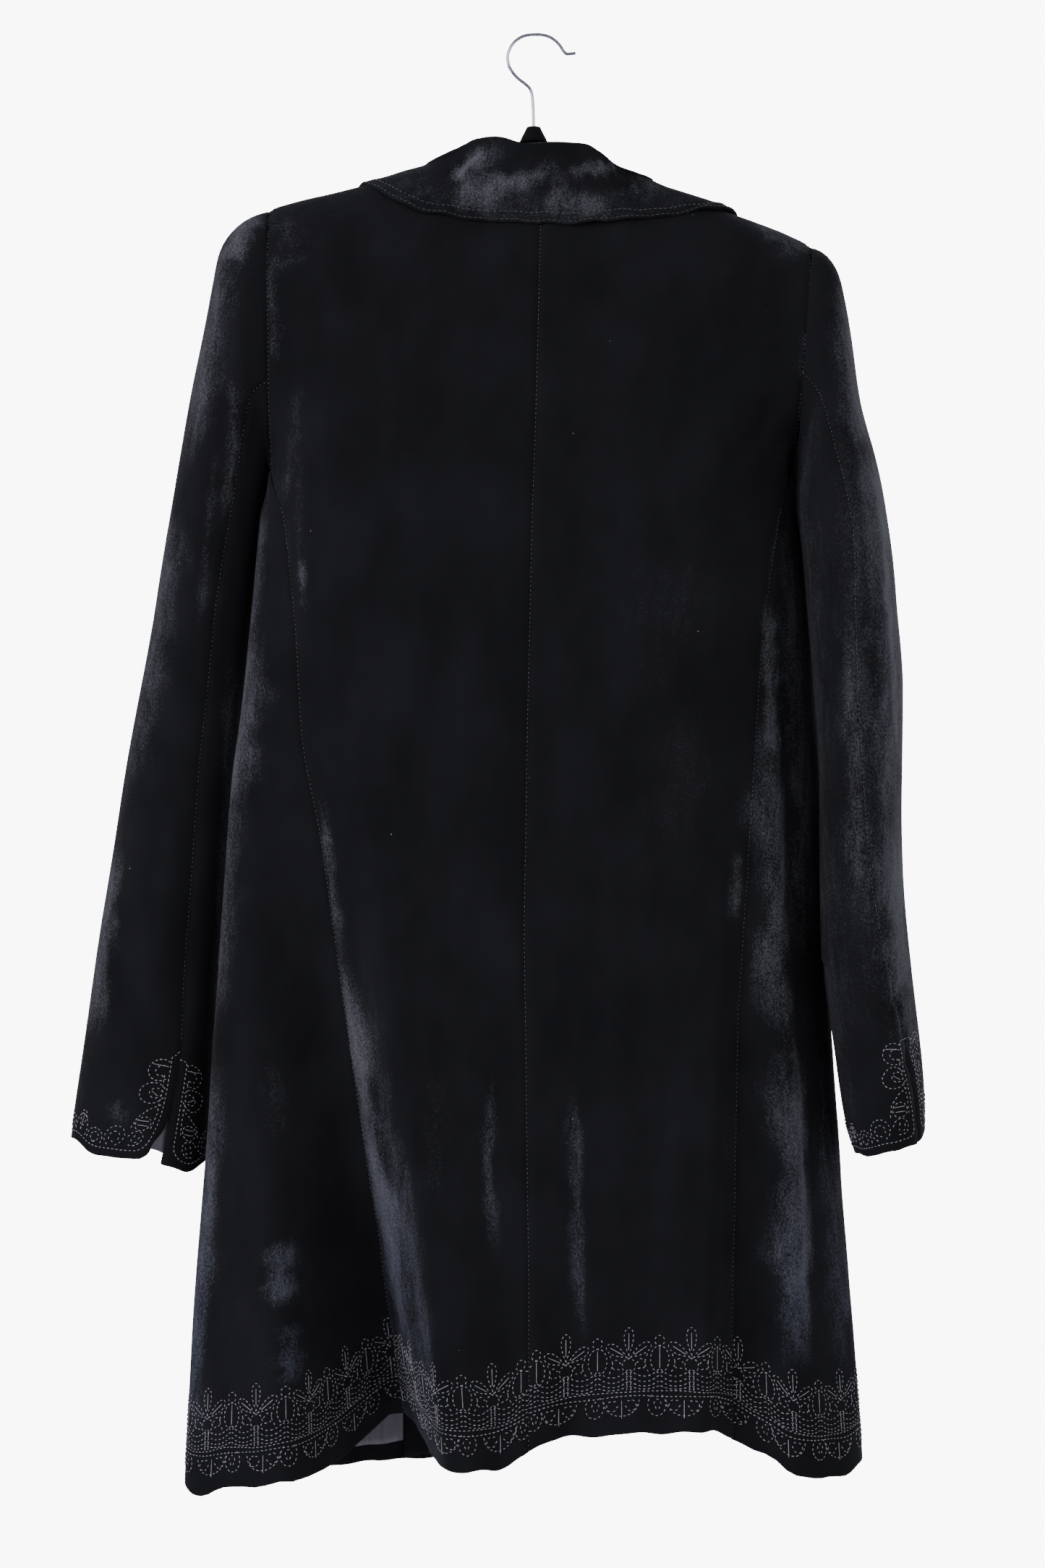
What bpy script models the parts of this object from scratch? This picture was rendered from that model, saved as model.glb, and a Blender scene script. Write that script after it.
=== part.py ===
"""Velvet coat hanging on a slim hanger.

Metres, +Z up. The back of the coat faces -Y and the fronts face +Y.
The origin is the inside top of the hanger's hook, where it hangs.
The tables below are in millimetres.
"""
import math

import bpy
import numpy as np

# Driving dimensions, in millimetres
MM = 0.001
WALL = 2.0                  # velvet with its lining
LINING = 1.0
COLLAR_WALL = 2.2
SEAM_GAP = 0.3
UNDERARM = -303.0           # height of the bottom of both armholes
SHOULDER_POINT = -120.0     # about where both armholes reach the shoulder line
TOP_TURNS = 5               # rounds that settle a panel's top line where its armhole slants
BACK_ROUNDING = 70.0        # drop over which the back turns down from the shoulder line
FRONT_ROUNDING = 30.0
ARMHOLE_CENTRE = (-16.0, -212.0)    # y and z of the middle of an armhole
ARMHOLE_HALF = (38.0, 90.0)
ARMHOLE_SHARE = 0.985       # where an armhole cuts the section, as a share of its half width
ARMHOLE_CORNER = 20.0       # height over which the armhole's rim turns from level to upright
OUTLINE_STEPS = 60          # points down each side of an armhole's outline
UPPER_BLEND = 45.0          # height over which the body section opens into the armholes
HANGER_THICK = 6.0
HOOK_WIRE = 2.2


def table(columns, rows):
    """Turn rows of numbers into named columns."""
    return dict(zip(columns.split(), np.array(rows, float).T))


# One row for each height: side edges and their depths, back and front, and how square the section is
BODY = table("z left right leftEdge rightEdge back front square", [
    (-303, -186.2, 174.5, -24, -6, -72, 26, 8.0),
    (-335, -190.3, 180.3, -31, 2, -75, 26, 5.8),
    (-370, -193.4, 185.6, -33, 8, -77, 26, 4.5),
    (-466, -202.9, 192.4, -35, 8, -79, 26, 3.2),
    (-514, -209.2, 195.6, -37, 6, -79, 26, 3.0),
    (-597, -215.3, 197.0, -38, 4, -81, 26, 2.8),
    (-677, -221.2, 202.0, -38, 0, -84, 26, 2.7),
    (-755, -227.3, 206.2, -38, -12, -87, 26, 2.6),
    (-850, -234.7, 211.8, -36, -28, -90, 26, 2.6),
    (-925, -239.3, 217.6, -36, -34, -92, 26, 2.6),
    (-1005, -243.0, 223.2, -36, -36, -94, 27, 2.6),
])
# Above the underarm: depth at the armhole edge and at the middle, for back and front
YOKE = table("z backEdge backMiddle frontEdge frontMiddle", [
    (-303, -40, -72, 14, 26),
    (-290, -47, -72, 17, 26),
    (-260, -52, -71, 19, 26),
    (-220, -54, -67, 20, 26),
    (-180, -54, -57, 21, 26),
    (-150, -52, -46, 21, 26),
    (-125, -50, -34.5, 21, 26),
    (-90, -48, -26, 20, 26),
])
# The armholes lie in two upright planes
ARMHOLE = table("z left right", [(-305, -183.0, 174.0), (-120, -185.7, 189.0)])
# Seams between the centre backs and the side bodies, and the centre-back seam
BACK_SEAMS = table("z left middle right", [
    (-120, -185.7, 1.5, 189.0),
    (-290, -183.3, -3.0, 174.8),
    (-303, -182.0, -3.5, 171.3),
    (-332, -174.0, -4.5, 164.8),
    (-373, -168.8, -5.5, 158.0),
    (-418, -164.6, -6.5, 152.3),
    (-482, -161.0, -8.0, 146.8),
    (-550, -149.0, -9.0, 142.6),
    (-610, -140.1, -10.0, 139.0),
    (-693, -127.8, -9.0, 134.0),
    (-772, -116.0, -8.0, 132.4),
    (-868, -103.2, -7.0, 130.6),
    (-965, -92.9, -7.0, 130.5),
    (-1005, -90.4, -7.0, 130.4),
])
# How far out the front seams of the side bodies sit, as a share of the half width
FRONT_SEAMS = table("z share", [(-303, 0.985), (-336, 0.968), (-400, 0.96), (-700, 0.95), (-1010, 0.93)])
FRONT_EDGE = -4.0           # x of the centre-front edges
# Shoulder seams and neck seam, by x
BACK_TOP = table("x z y", [
    (-195, -124.5, 0), (-183, -119.5, 0), (-166.5, -114.5, 0), (-144.5, -109.5, 0), (-120, -103.5, 0),
    (-95, -98, 0), (-70, -93, 0), (-52, -99, -17), (-28, -106, -27), (0, -112, -30),
    (30, -109.5, -27), (55, -104, -17), (68, -101.5, 0), (100, -111, 0), (137, -124.5, 0),
    (151.5, -129.5, 0), (165, -134.5, 0), (176, -139.5, 0), (195, -149, 0),
])
FRONT_TOP = table("x z y", [
    (-195, -124.5, 0), (-183, -119.5, 0), (-166.5, -114.5, 0), (-144.5, -109.5, 0), (-120, -103.5, 0),
    (-95, -98, 0), (-70, -93, 0), (-66, -106, 13), (-54, -130, 21), (-32, -162, 25),
    (-4, -188, 26), (30, -166, 25), (52, -137, 22), (64, -115, 14), (68, -101.5, 0),
    (100, -111, 0), (137, -124.5, 0), (151.5, -129.5, 0), (165, -134.5, 0), (176, -139.5, 0),
    (195, -149, 0),
])
# The shoulder lines, carried on straight over the neck
SHOULDER = table("x z", [
    (-195, -124.5), (-183, -119.5), (-166.5, -114.5), (-144.5, -109.5), (-120, -103.5), (-95, -98),
    (-70, -93), (-30, -86), (0, -84), (30, -89), (68, -101.5), (100, -111), (137, -124.5),
    (151.5, -129.5), (165, -134.5), (176, -139.5), (195, -149),
])
NECK_LEFT = -70.0
NECK_RIGHT = 68.0
# Bottom edge, by x
BACK_HEM = table("x z", [
    (-242, -995), (-236, -1000), (-225, -998), (-212, -993), (-194, -990), (-168, -986), (-140, -980),
    (-126, -971), (-112, -960), (-99, -950), (-89, -952), (-79, -962), (-66, -975), (-32, -977),
    (-22, -974), (-12, -968), (8, -958), (47, -955), (91, -951), (116, -952), (133, -960), (152, -969),
    (174, -982), (192, -986), (207, -985), (222, -978),
])
FRONT_HEM = table("x z", [(-242, -995), (-186, -994), (-145, -992), (-98, -988), (-60, -984), (-30, -978),
                          (0, -971), (30, -965), (60, -962), (100, -962), (130, -966), (160, -974),
                          (222, -978)])
# Largest folds of the back at the hem: each row is a soft trough (positive) or ridge (negative)
# that starts at a height, drifts in x on its way down and grows towards the hem
FOLDS = table("start xStart xMiddle xHem depth leftWidth rightWidth growth", [
    (-400, -168, -125, -92, 88, 78, 36, 1.6),       # deep flute beside the left side-back seam
    (-430, -146, -102, -57, -13, 26, 64, 1.3),      # ridge on its right
    (-430, -192, -188, -184, -9, 30, 40, 1.0),      # soft roll of the left side body
    (-600, 27, 23, 29, 10, 45, 58, 1.0),            # hollow right of the centre back
    (-520, 125, 117, 107, -12, 58, 12, 1.0),        # sharp fold edge of the right centre back
    (-520, 142, 135, 132, 9, 14, 22, 0.8),          # groove along the right side-back seam
    (-430, 154, 166, 180, -11, 30, 30, 0.9),        # soft roll of the right side body
    (-640, -50, -35, -22, 5, 26, 24, 1.0),          # shallow hollow left of the centre back
])
FRONT_FOLDS = table("start xStart xMiddle xHem depth leftWidth rightWidth growth", [
    (-420, -120, -132, -140, -9, 60, 50, 1.0),
    (-480, 96, 104, 112, -10, 55, 50, 1.0),
    (-560, -40, -46, -52, 5, 45, 45, 1.0),
    (-560, 34, 40, 46, 5, 45, 45, 1.0),
])
FOLD_MIDDLE = -720.0
FOLD_END = -1000.0

LOWER_LEVELS = [0, 0.04, 0.1, 0.17, 0.24, 0.32, 0.4, 0.48, 0.56, 0.64, 0.72, 0.8, 0.88, 0.95, 1]
UPPER_DROPS = [0.86, 0.7, 0.53, 0.37, 0.24, 0.14, 0.07, 0.025, 0]
BACK_COLUMNS = {
    "left": [0, 0.05, 0.1, 0.16, 0.23, 0.31, 0.42, 0.53, 0.6217, 0.75, 0.87, 1],
    "right": [0, 0.045, 0.09, 0.13, 0.18, 0.26, 0.38, 0.52, 0.6491, 0.77, 0.88, 1],
}
FRONT_COLUMNS = {
    "left": [0, 0.02, 0.06, 0.14, 0.26, 0.39, 0.52, 0.6403, 0.652, 0.669, 0.71, 0.78, 0.86, 0.92, 0.963, 1],
    "right": [0, 0.02, 0.06, 0.14, 0.26, 0.39, 0.52, 0.6308, 0.643, 0.66, 0.7, 0.77, 0.855, 0.92, 0.963, 1],
}
SIDE_COLUMNS = [0, 0.12, 0.25, 0.4, 0.55, 0.7, 0.85, 1]

# Sleeves: a row for each ring from the armhole to the cuff. outer and inner are the ring's two ends
# seen from behind, back and front its depth, hind and fore the angles of its two seams
SLEEVE = {
    "left": table("outerX outerZ innerX innerZ back front hind fore", [
        (-187.5, -122.5, -183.2, -303.0, -54, 22, 110, -120),
        (-205.0, -129.5, -184.0, -303.6, -56, 24, 110, -120),
        (-214.0, -139.5, -184.3, -304.6, -57, 26, 110, -122),
        (-220.5, -154.5, -184.6, -306.2, -58, 28, 110, -124),
        (-225.0, -174.5, -185.0, -308.5, -58, 30, 110, -126),
        (-233.0, -214.5, -185.4, -312.5, -58, 34, 110, -128),
        (-241.0, -254.5, -186.0, -318.0, -57, 38, 111, -130),
        (-248.5, -294.5, -187.4, -328.0, -55, 42, 112, -130),
        (-255.0, -334.5, -189.3, -346.0, -52, 44, 110, -130),
        (-264.5, -394.5, -193.7, -394.0, -50, 45, 106, -130),
        (-275.0, -454.5, -200.0, -450.0, -48, 44, 109, -130),
        (-286.0, -514.5, -206.9, -508.0, -46, 43, 112, -130),
        (-295.5, -574.5, -212.2, -567.0, -45, 41, 116, -130),
        (-305.5, -634.5, -216.8, -628.0, -43, 38, 118, -130),
        (-314.5, -694.5, -221.0, -690.0, -42, 34, 120, -130),
        (-321.0, -738.0, -225.0, -738.0, -41, 30, 115, -130),
        (-323.5, -760.0, -227.0, -765.0, -41, 27, 111, -130),
    ]),
    "right": table("outerX outerZ innerX innerZ back front hind fore", [
        (190.0, -147.5, 174.0, -303.0, -54, 22, 106, -120),
        (199.9, -153.5, 175.2, -303.8, -56, 24, 104, -120),
        (205.4, -163.5, 175.6, -305.2, -58, 26, 102, -122),
        (208.7, -175.5, 175.9, -307.2, -61, 27, 100, -124),
        (212.1, -192.5, 176.1, -310.0, -65, 27, 98, -126),
        (215.9, -218.5, 176.1, -314.5, -70, 26, 95, -128),
        (220.4, -254.5, 176.2, -321.0, -77, 22, 90, -130),
        (229.9, -294.5, 176.8, -331.0, -83, 18, 86, -130),
        (236.7, -334.5, 179.4, -350.0, -88, 15, 85, -130),
        (243.6, -394.5, 183.6, -398.0, -92, 13, 93, -130),
        (248.1, -454.5, 188.3, -456.0, -94, 12, 99, -130),
        (247.6, -514.5, 191.8, -516.0, -94, 12, 95, -130),
        (248.4, -574.5, 192.2, -578.0, -92, 12, 85, -130),
        (253.1, -634.5, 193.6, -640.0, -89, 12, 69, -130),
        (259.1, -692.5, 201.9, -700.0, -86, 11, 55, -130),
        (263.1, -732.0, 208.8, -743.0, -84, 10, 47, -130),
        (263.7, -751.0, 215.9, -766.0, -83, 9, 43, -130),
    ]),
}
SLEEVE_ROWS = [0, 0.5, 1, 2, 3, 4, 5, 6, 7, 8, 9, 10, 11, 12, 13, 14, 14.7, 15.3, 15.7, 16]
CAP_BLEND = 3.0             # rings over which the sleeve leaves the armhole's own outline
INWARD_BLEND = 2.0          # rings over which its wall turns out of the armhole's plane
# Lower edge of the cuffs by angle: how far the cloth reaches below the last ring
CUFF_DIP = table("angle left right", [
    (-180, 6, 2), (-90, 4, 3), (0, 0, 0), (30, 3, 4), (60, 10, 6), (85, 11, 6), (100, 10, 5),
    (118, 14, 5), (135, 19, 4), (155, 14, 4), (180, 6, 2),
])
VENT_START = 14.7           # ring where the left cuff's vent opens
VENT_OPENING = 9.0          # degrees that the upper sleeve draws back at the left cuff's edge
VENT_ROUND = 7.0            # height that its corner is rounded by
VENT_ROUND_BESIDE = 2.8     # and the point next to the corner
UPPER_SLEEVE_COLUMNS = [0, 0.03, 0.1, 0.2, 0.31, 0.42, 0.53, 0.64, 0.76, 0.88, 1]
UNDER_SLEEVE_COLUMNS = [0, 0.14, 0.28, 0.43, 0.58, 0.72, 0.86, 1]

# Collar: a row for each section from the left front round the back to the right front. neckX is on
# the neck seam, edgeX and edgeZ place the edge on the coat
COLLAR = table("neckX foldX foldY foldZ edgeX edgeZ", [
    (-8, -11, 34, -180, -60, -226),
    (-32, -37, 33, -153, -98, -205),
    (-54, -60, 31, -119, -124, -167),
    (-66, -75, 20, -91.5, -131, -130),
    (-70, -79, -3, -89, -123, -104.2),
    (-62, -68, -16, -84, -102, -116.5),
    (-52, -57.5, -21, -79.5, -83, -125),
    (-40, -42, -26, -73.5, -60, -130.2),
    (-28, -28, -28.5, -72, -35, -133.2),
    (-12, -9, -31, -78.5, -10, -135.2),
    (2, 8, -31, -77.5, 12, -135.2),
    (28, 29, -29, -77, 40, -134.1),
    (44, 43, -25, -83.5, 64, -132),
    (54, 54, -20, -91, 86, -129),
    (62, 67, -14, -95, 108, -125),
    (68, 80, -3, -98, 135, -123.8),
    (64, 76, 20, -98, 141, -150),
    (52, 61, 31, -125, 130, -180),
    (30, 36, 33, -156, 100, -212),
    (2, 4, 34, -182, 54, -236),
])
LEFT_RIDGE_ROW = 4          # rows where the collar crosses the shoulder lines
RIGHT_RIDGE_ROW = 15
WRAP_SCALE = 60.0           # how the way over the shoulder turns into a drop below it
COLLAR_STEPS = 42
COLLAR_LIFT = 3.1           # middle of the collar's edge above the cloth that it lies on
STAND_INSET = 5.0           # space between stand and fall under the fold
STAND_FOOT = 1.4            # the stand starts this far above and inside the neck seam at the back
STAND_FOOT_FRONT = 2.6      # and this far at the front, where the seam runs steeply down
STAND_BOW = 1.6             # how far the stand bows up between its foot and the fold
STAND_TOP_DROP = 2.5        # the stand ends this far below the fold
STAND_STEPS = (0, 0.45, 0.9)
CROWN = ((0.72, 1.2), (0.36, 0.2), (0.06, 0.9))     # round of the fold: share of the inset, and drop
FALL_STEPS = (0.86, 0.64, 0.42, 0.2, 0)             # from the fold down to the edge
FALL_CURVE = 1.6            # how soon the fall comes down on the cloth
SEAM_RISE = 1.5             # beside the neck seam the collar stands up more than out
SEAM_RISE_REACH = 3.0       # height over which it does

LINING_BOX = {"left": -205.0, "right": -94.0, "top": -868.0, "bottomLift": 13.0, "rows": 6, "columns": 9}
FACING_BOX = {"left": -93.7, "right": -6.0, "top": -868.0, "bottomLift": 2.5, "rows": 6, "columns": 7}
LINING_GAP = 1.6            # the walls are faceted, so the lining lies within their chords
CUFF_LINING = {"top": 14.6, "bottom": 15.75, "start": 84.0, "end": 132.0, "rows": 6, "columns": 7}

# Hanger: upper edge of the arms by x, and their height
HANGER_TOP = table("x z height", [
    (-182, -125.3, 9), (-166, -118.6, 12), (-144, -113.2, 13), (-120, -107.3, 14), (-95, -101.9, 15),
    (-76, -98.5, 16), (-61, -99.3, 16), (-52, -90, 21), (-42, -80.5, 26), (-31, -74.5, 28),
    (-15, -73.3, 28), (15, -73.3, 28), (27, -78.5, 26), (40, -88, 24), (50, -99, 19), (59, -107.0, 16),
    (72, -107.2, 16), (100, -115.0, 15), (137, -128.4, 14), (165, -138.4, 12), (180, -145.6, 9),
])
HANGER_NECK = table("radius z", [(9.5, -73.0), (9.0, -71.5), (6.4, -66.5), (4.6, -62.9)])
HANGER_NECK_X = -3.6
# The hook's own points, from the hanger's neck round to its open end
HOOK_ROUTE = table("x z", [
    (-3.6, -62.6), (-3.9, -50), (-4.5, -41.5), (-6.0, -36.6), (-9.2, -33.2), (-14.6, -29.0),
    (-18.6, -24.3), (-21.0, -19.4), (-21.6, -14.2), (-20.0, -8.6), (-16.0, -3.3), (-10.6, 0.0),
    (-5.2, 1.0), (0.0, 1.1), (5.5, 0.2), (10.8, -2.6), (14.8, -6.7), (17.3, -10.6), (19.8, -12.4),
    (25.5, -11.8),
])
HOOK_STEPS = 3

VELVET = ("black velvet", (0.012, 0.012, 0.018), 0.85, 0.0)
VELVET_SIDE = ("black velvet side", (0.02, 0.02, 0.03), 0.85, 0.0)
LINING_CLOTH = ("grey lining", (0.32, 0.30, 0.36), 0.55, 0.0)
FLOCK = ("black flock", (0.01, 0.01, 0.01), 0.95, 0.0)
STEEL = ("plated steel wire", (0.62, 0.60, 0.72), 0.22, 1.0)


def smoothCurve(knots, values, at):
    """Monotone cubic through a table's rows, so that no value overshoots."""
    order = np.argsort(knots)
    knots, values = knots[order], values[order]
    at = np.clip(at, knots[0], knots[-1])
    steps = np.diff(knots)
    rises = np.diff(values) / steps
    slopes = np.zeros_like(values)
    inner = rises[:-1] * rises[1:] > 0
    before, after = steps[:-1], steps[1:]
    weighted = (3 * (before + after)) / (
        (2 * after + before) / np.where(inner, rises[:-1], 1)
        + (after + 2 * before) / np.where(inner, rises[1:], 1))
    slopes[1:-1] = np.where(inner, weighted, 0)
    slopes[0], slopes[-1] = rises[0], rises[-1]
    place = np.clip(np.searchsorted(knots, at) - 1, 0, len(steps) - 1)
    step = steps[place]
    t = (at - knots[place]) / step
    return (values[place] * (2 * t**3 - 3 * t**2 + 1) + slopes[place] * step * (t**3 - 2 * t**2 + t)
            + values[place + 1] * (3 * t**2 - 2 * t**3) + slopes[place + 1] * step * (t**3 - t**2))


def along(rows, column, at, key="z"):
    return smoothCurve(rows[key], rows[column], at)


def smoothStep(t):
    t = np.clip(t, 0, 1)
    return t * t * (3 - 2 * t)


def unit(vectors):
    return vectors / np.linalg.norm(vectors, axis=-1, keepdims=True)


def foldDepth(folds, x, z):
    """Sum of the soft troughs and ridges at a place on the body."""
    total = np.zeros_like(x)
    for row in range(len(folds["start"])):
        start, depth, growth = folds["start"][row], folds["depth"][row], folds["growth"][row]
        places = np.array([folds[name][row] for name in ("xHem", "xMiddle", "xStart")])
        centre = smoothCurve(np.array([FOLD_END, FOLD_MIDDLE, start]), places, z)
        offset = x - centre
        width = np.where(offset < 0, folds["leftWidth"][row], folds["rightWidth"][row])
        share = np.clip((start - z) / (start - FOLD_END), 0, 1.02) ** growth
        bump = np.clip(1 - (offset / width) ** 2, 0, 1) ** 2
        total = total + depth * share * bump
    return total


def section(z):
    """The body's section at a height: middle, half width and squareness."""
    left, right = along(BODY, "left", z), along(BODY, "right", z)
    return (left + right) / 2, (right - left) / 2, along(BODY, "square", z)


def lowerDepth(x, z, side):
    """Depth of the back or front below the underarm."""
    middle, half, square = section(z)
    share = np.clip(np.abs(x - middle) / half, 0, 1)
    toRight = np.clip((x - middle) / half, -1, 1) / 2 + 0.5
    edge = along(BODY, "leftEdge", z) * (1 - toRight) + along(BODY, "rightEdge", z) * toRight
    full = along(BODY, side, z)
    folds = foldDepth(FOLDS if side == "back" else FRONT_FOLDS, x, z) * (1 - share ** 8)
    if side == "front":
        folds = -folds
    return edge + (full - edge) * np.sqrt(np.clip(1 - share ** square, 0, 1)) + folds


def upperDepth(x, z, side):
    """Depth of the back or front between the armholes."""
    left, right = along(ARMHOLE, "left", z), along(ARMHOLE, "right", z)
    share = np.clip(np.abs(x - (left + right) / 2) / ((right - left) / 2), 0, 1)
    edge, middle = along(YOKE, side + "Edge", z), along(YOKE, side + "Middle", z)
    full = edge + (middle - edge) * (1 - share ** 3)
    top = BACK_TOP if side == "back" else FRONT_TOP
    rounding = BACK_ROUNDING if side == "back" else FRONT_ROUNDING
    drop = np.clip((along(top, "z", x, "x") - z) / rounding, 0, 1)
    start = along(top, "y", x, "x")
    return start + (full - start) * np.sqrt(1 - (1 - drop) ** 2)


def bodyDepth(x, z, side):
    x, z = np.broadcast_arrays(np.asarray(x, float), np.asarray(z, float))
    middle, half, square = section(np.array(UNDERARM))
    widest = np.where(z > UNDERARM - 0.01, half * ARMHOLE_SHARE, np.inf)
    lowerX = np.clip(x, middle - widest, middle + widest)
    lower = lowerDepth(lowerX, np.minimum(z, UNDERARM), side)
    upper = upperDepth(x, np.maximum(z, UNDERARM), side)
    share = smoothStep((z - UNDERARM) / UPPER_BLEND)
    return lower * (1 - share) + upper * share


def bodyInward(x, z, side):
    """Direction from the outer face of the back or front into the wall."""
    reach = 0.5
    slopeX = (bodyDepth(x + reach, z, side) - bodyDepth(x - reach, z, side)) / (2 * reach)
    slopeZ = (bodyDepth(x, z + reach, side) - bodyDepth(x, z - reach, side)) / (2 * reach)
    sign = 1 if side == "back" else -1
    return unit(np.stack([-slopeX, np.ones_like(slopeX), -slopeZ], -1) * sign)


def ringPoint(turn, z):
    """Point of the body below the underarm; turn is 0 at the centre back and +-90 degrees at the sides."""
    middle, half, square = section(z)
    x = middle + half * np.sin(turn)
    isBack = np.cos(turn) > 0
    y = np.where(isBack, lowerDepth(x, z, "back"), lowerDepth(x, z, "front"))
    return np.stack([x, y, z], -1)


def ringInward(turn, z):
    reach = 0.01
    acrossTurn = ringPoint(turn + reach, z) - ringPoint(turn - reach, z)
    acrossHeight = ringPoint(turn, z + 1) - ringPoint(turn, z - 1)
    return unit(np.cross(acrossHeight, acrossTurn))


def armholeInward(points):
    """Direction within an armhole's plane towards its middle, straight up at its front corner."""
    toY = (ARMHOLE_CENTRE[0] - points[..., 1]) / ARMHOLE_HALF[0] ** 2
    risen = smoothStep((points[..., 2] - UNDERARM) / ARMHOLE_CORNER)
    toY = np.where(toY < 0, toY * risen, toY)
    toZ = (ARMHOLE_CENTRE[1] - points[..., 2]) / ARMHOLE_HALF[1] ** 2
    return unit(np.stack([np.zeros_like(toY), toY, toZ], -1))


def pullIn(outer, inner, edges):
    """Draw the edges of a panel back by half a seam gap, towards their neighbours."""
    half = SEAM_GAP / 2
    for edge in edges:
        here, beside = {"start": ((slice(None), 0), (slice(None), 1)),
                        "end": ((slice(None), -1), (slice(None), -2)),
                        "bottom": ((0,), (1,)), "top": ((-1,), (-2,))}[edge]
        shift = unit(outer[beside] - outer[here]) * half
        outer[here] += shift
        inner[here] += shift


def clothWall(name, outer, inner, material, flip=False):
    """A panel as a closed wall between its outer and inner face, rows by columns.

    The rims of two panels that share a seam are split along the same diagonal.
    """
    rows, columns = outer.shape[:2]
    count = rows * columns
    points = np.concatenate([outer.reshape(-1, 3), inner.reshape(-1, 3)]) * MM

    def index(row, column, layer):
        return layer * count + row * columns + column

    faces = []
    for row in range(rows - 1):
        for column in range(columns - 1):
            quad = [index(row, column, 0), index(row, column + 1, 0),
                    index(row + 1, column + 1, 0), index(row + 1, column, 0)]
            faces.append(quad)
            faces.append([corner + count for corner in reversed(quad)])
    border = [(0, column) for column in range(columns)]
    border += [(row, columns - 1) for row in range(1, rows)]
    border += [(rows - 1, column) for column in range(columns - 2, -1, -1)]
    border += [(row, 0) for row in range(rows - 2, 0, -1)]
    for here, after in zip(border, border[1:] + border[:1]):
        rim = [index(*after, 0), index(*here, 0), index(*here, 1), index(*after, 1)]
        if here < after:
            faces += [[rim[0], rim[1], rim[3]], [rim[1], rim[2], rim[3]]]
        else:
            faces += [[rim[0], rim[1], rim[2]], [rim[0], rim[2], rim[3]]]
    if flip:
        faces = [face[::-1] for face in faces]
    return addMesh(name, points, faces, material)


def addMesh(name, points, faces, material):
    mesh = bpy.data.meshes.new(name)
    mesh.from_pydata([tuple(point) for point in points], [], faces)
    mesh.update()
    mesh.shade_smooth()
    mesh.materials.append(material)
    piece = bpy.data.objects.new(name, mesh)
    coat.objects.link(piece)
    return piece


def makeMaterial(finish):
    name, colour, roughness, metallic = finish
    material = bpy.data.materials.new(name)
    material.use_nodes = True
    shader = material.node_tree.nodes["Principled BSDF"]
    shader.inputs["Base Color"].default_value = (*colour, 1)
    shader.inputs["Roughness"].default_value = roughness
    shader.inputs["Metallic"].default_value = metallic
    return material


def seamX(side, z):
    """x of the seam between the centre back and the side body."""
    return along(BACK_SEAMS, side, z)


def frontSeamX(side, z):
    middle, half, square = section(np.minimum(z, UNDERARM))
    share = along(FRONT_SEAMS, "share", z)
    return middle + half * share * (-1 if side == "left" else 1)


def seamTurn(side, face, z):
    """Turn about the body of a side body's seam with the back or the front, below the underarm."""
    middle, half, square = section(z)
    sign = -1 if side == "left" else 1
    if face == "front":
        return sign * (math.pi - np.arcsin(np.clip(along(FRONT_SEAMS, "share", z), 0, 1)))
    return sign * np.arcsin(np.clip(sign * (seamX(side, z) - middle) / half, 0, 1))


def gridBetween(startX, endX, columns, hem, top):
    """Outer x and z of a panel between two edges given by height, from the hem up to its top line."""
    share = np.array(columns)[None, :]
    lowZ = np.full_like(share, np.mean(hem["z"]))
    hemX = startX(lowZ) * (1 - share) + endX(lowZ) * share
    hemZ = along(hem, "z", hemX, "x")
    levels = np.array(LOWER_LEVELS)[:, None]
    z = hemZ + (UNDERARM - hemZ) * levels
    drops = np.array(UPPER_DROPS)[:, None]
    upperZ = UNDERARM * drops + SHOULDER_POINT * (1 - drops)
    for turn in range(TOP_TURNS):
        upperX = startX(upperZ) * (1 - share) + endX(upperZ) * share
        topZ = along(top, "z", upperX, "x")
        upperZ = topZ + (UNDERARM - topZ) * drops
    z = np.concatenate([z, upperZ])
    x = startX(z) * (1 - share) + endX(z) * share
    return x, z


def panelWall(name, x, z, face, side, material):
    """Back or front panel: its armhole edge and shoulder edge are cut in their own planes."""
    y = bodyDepth(x, z, face)
    outer = np.stack([x, y, z], -1)
    inward = bodyInward(x, z, face)
    lower = slice(0, len(LOWER_LEVELS))
    inward[lower, 0] = ringInward(seamTurn(side, face, z[lower, 0]), z[lower, 0])
    shift = unit(outer[lower, 1] - outer[lower, 0]) * SEAM_GAP / 2
    armholeRows = slice(len(LOWER_LEVELS) - 1, None)
    outer[armholeRows, 0, 0] = along(ARMHOLE, side, outer[armholeRows, 0, 2])
    inward[armholeRows, 0] = armholeInward(outer[armholeRows, 0])
    onShoulder = (x[-1] <= NECK_LEFT + 0.5) | (x[-1] >= NECK_RIGHT - 0.5)
    inward[-1, onShoulder] = (0, 0, -1)
    inner = outer + inward * WALL
    inwards = SEAM_GAP / 2 * (1 if side == "left" else -1)
    outer[lower, 0] += shift
    inner[lower, 0] += shift
    outer[armholeRows, 0, 0] = along(ARMHOLE, side, outer[armholeRows, 0, 2]) + inwards
    inner[armholeRows, 0, 0] = along(ARMHOLE, side, inner[armholeRows, 0, 2]) + inwards
    pullIn(outer, inner, ["end"])
    away = SEAM_GAP / 2 * (-1 if face == "back" else 1)
    outer[-1, onShoulder, 1] += away
    inner[-1, onShoulder, 1] += away
    flip = (face == "back") != (side == "left")
    return clothWall(name, outer, inner, material, flip)


def makeBack(side, material):
    x, z = gridBetween(lambda at: seamX(side, at), lambda at: along(BACK_SEAMS, "middle", at),
                       BACK_COLUMNS[side], BACK_HEM, BACK_TOP)
    return panelWall("back_" + side, x, z, "back", side, material)


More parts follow.
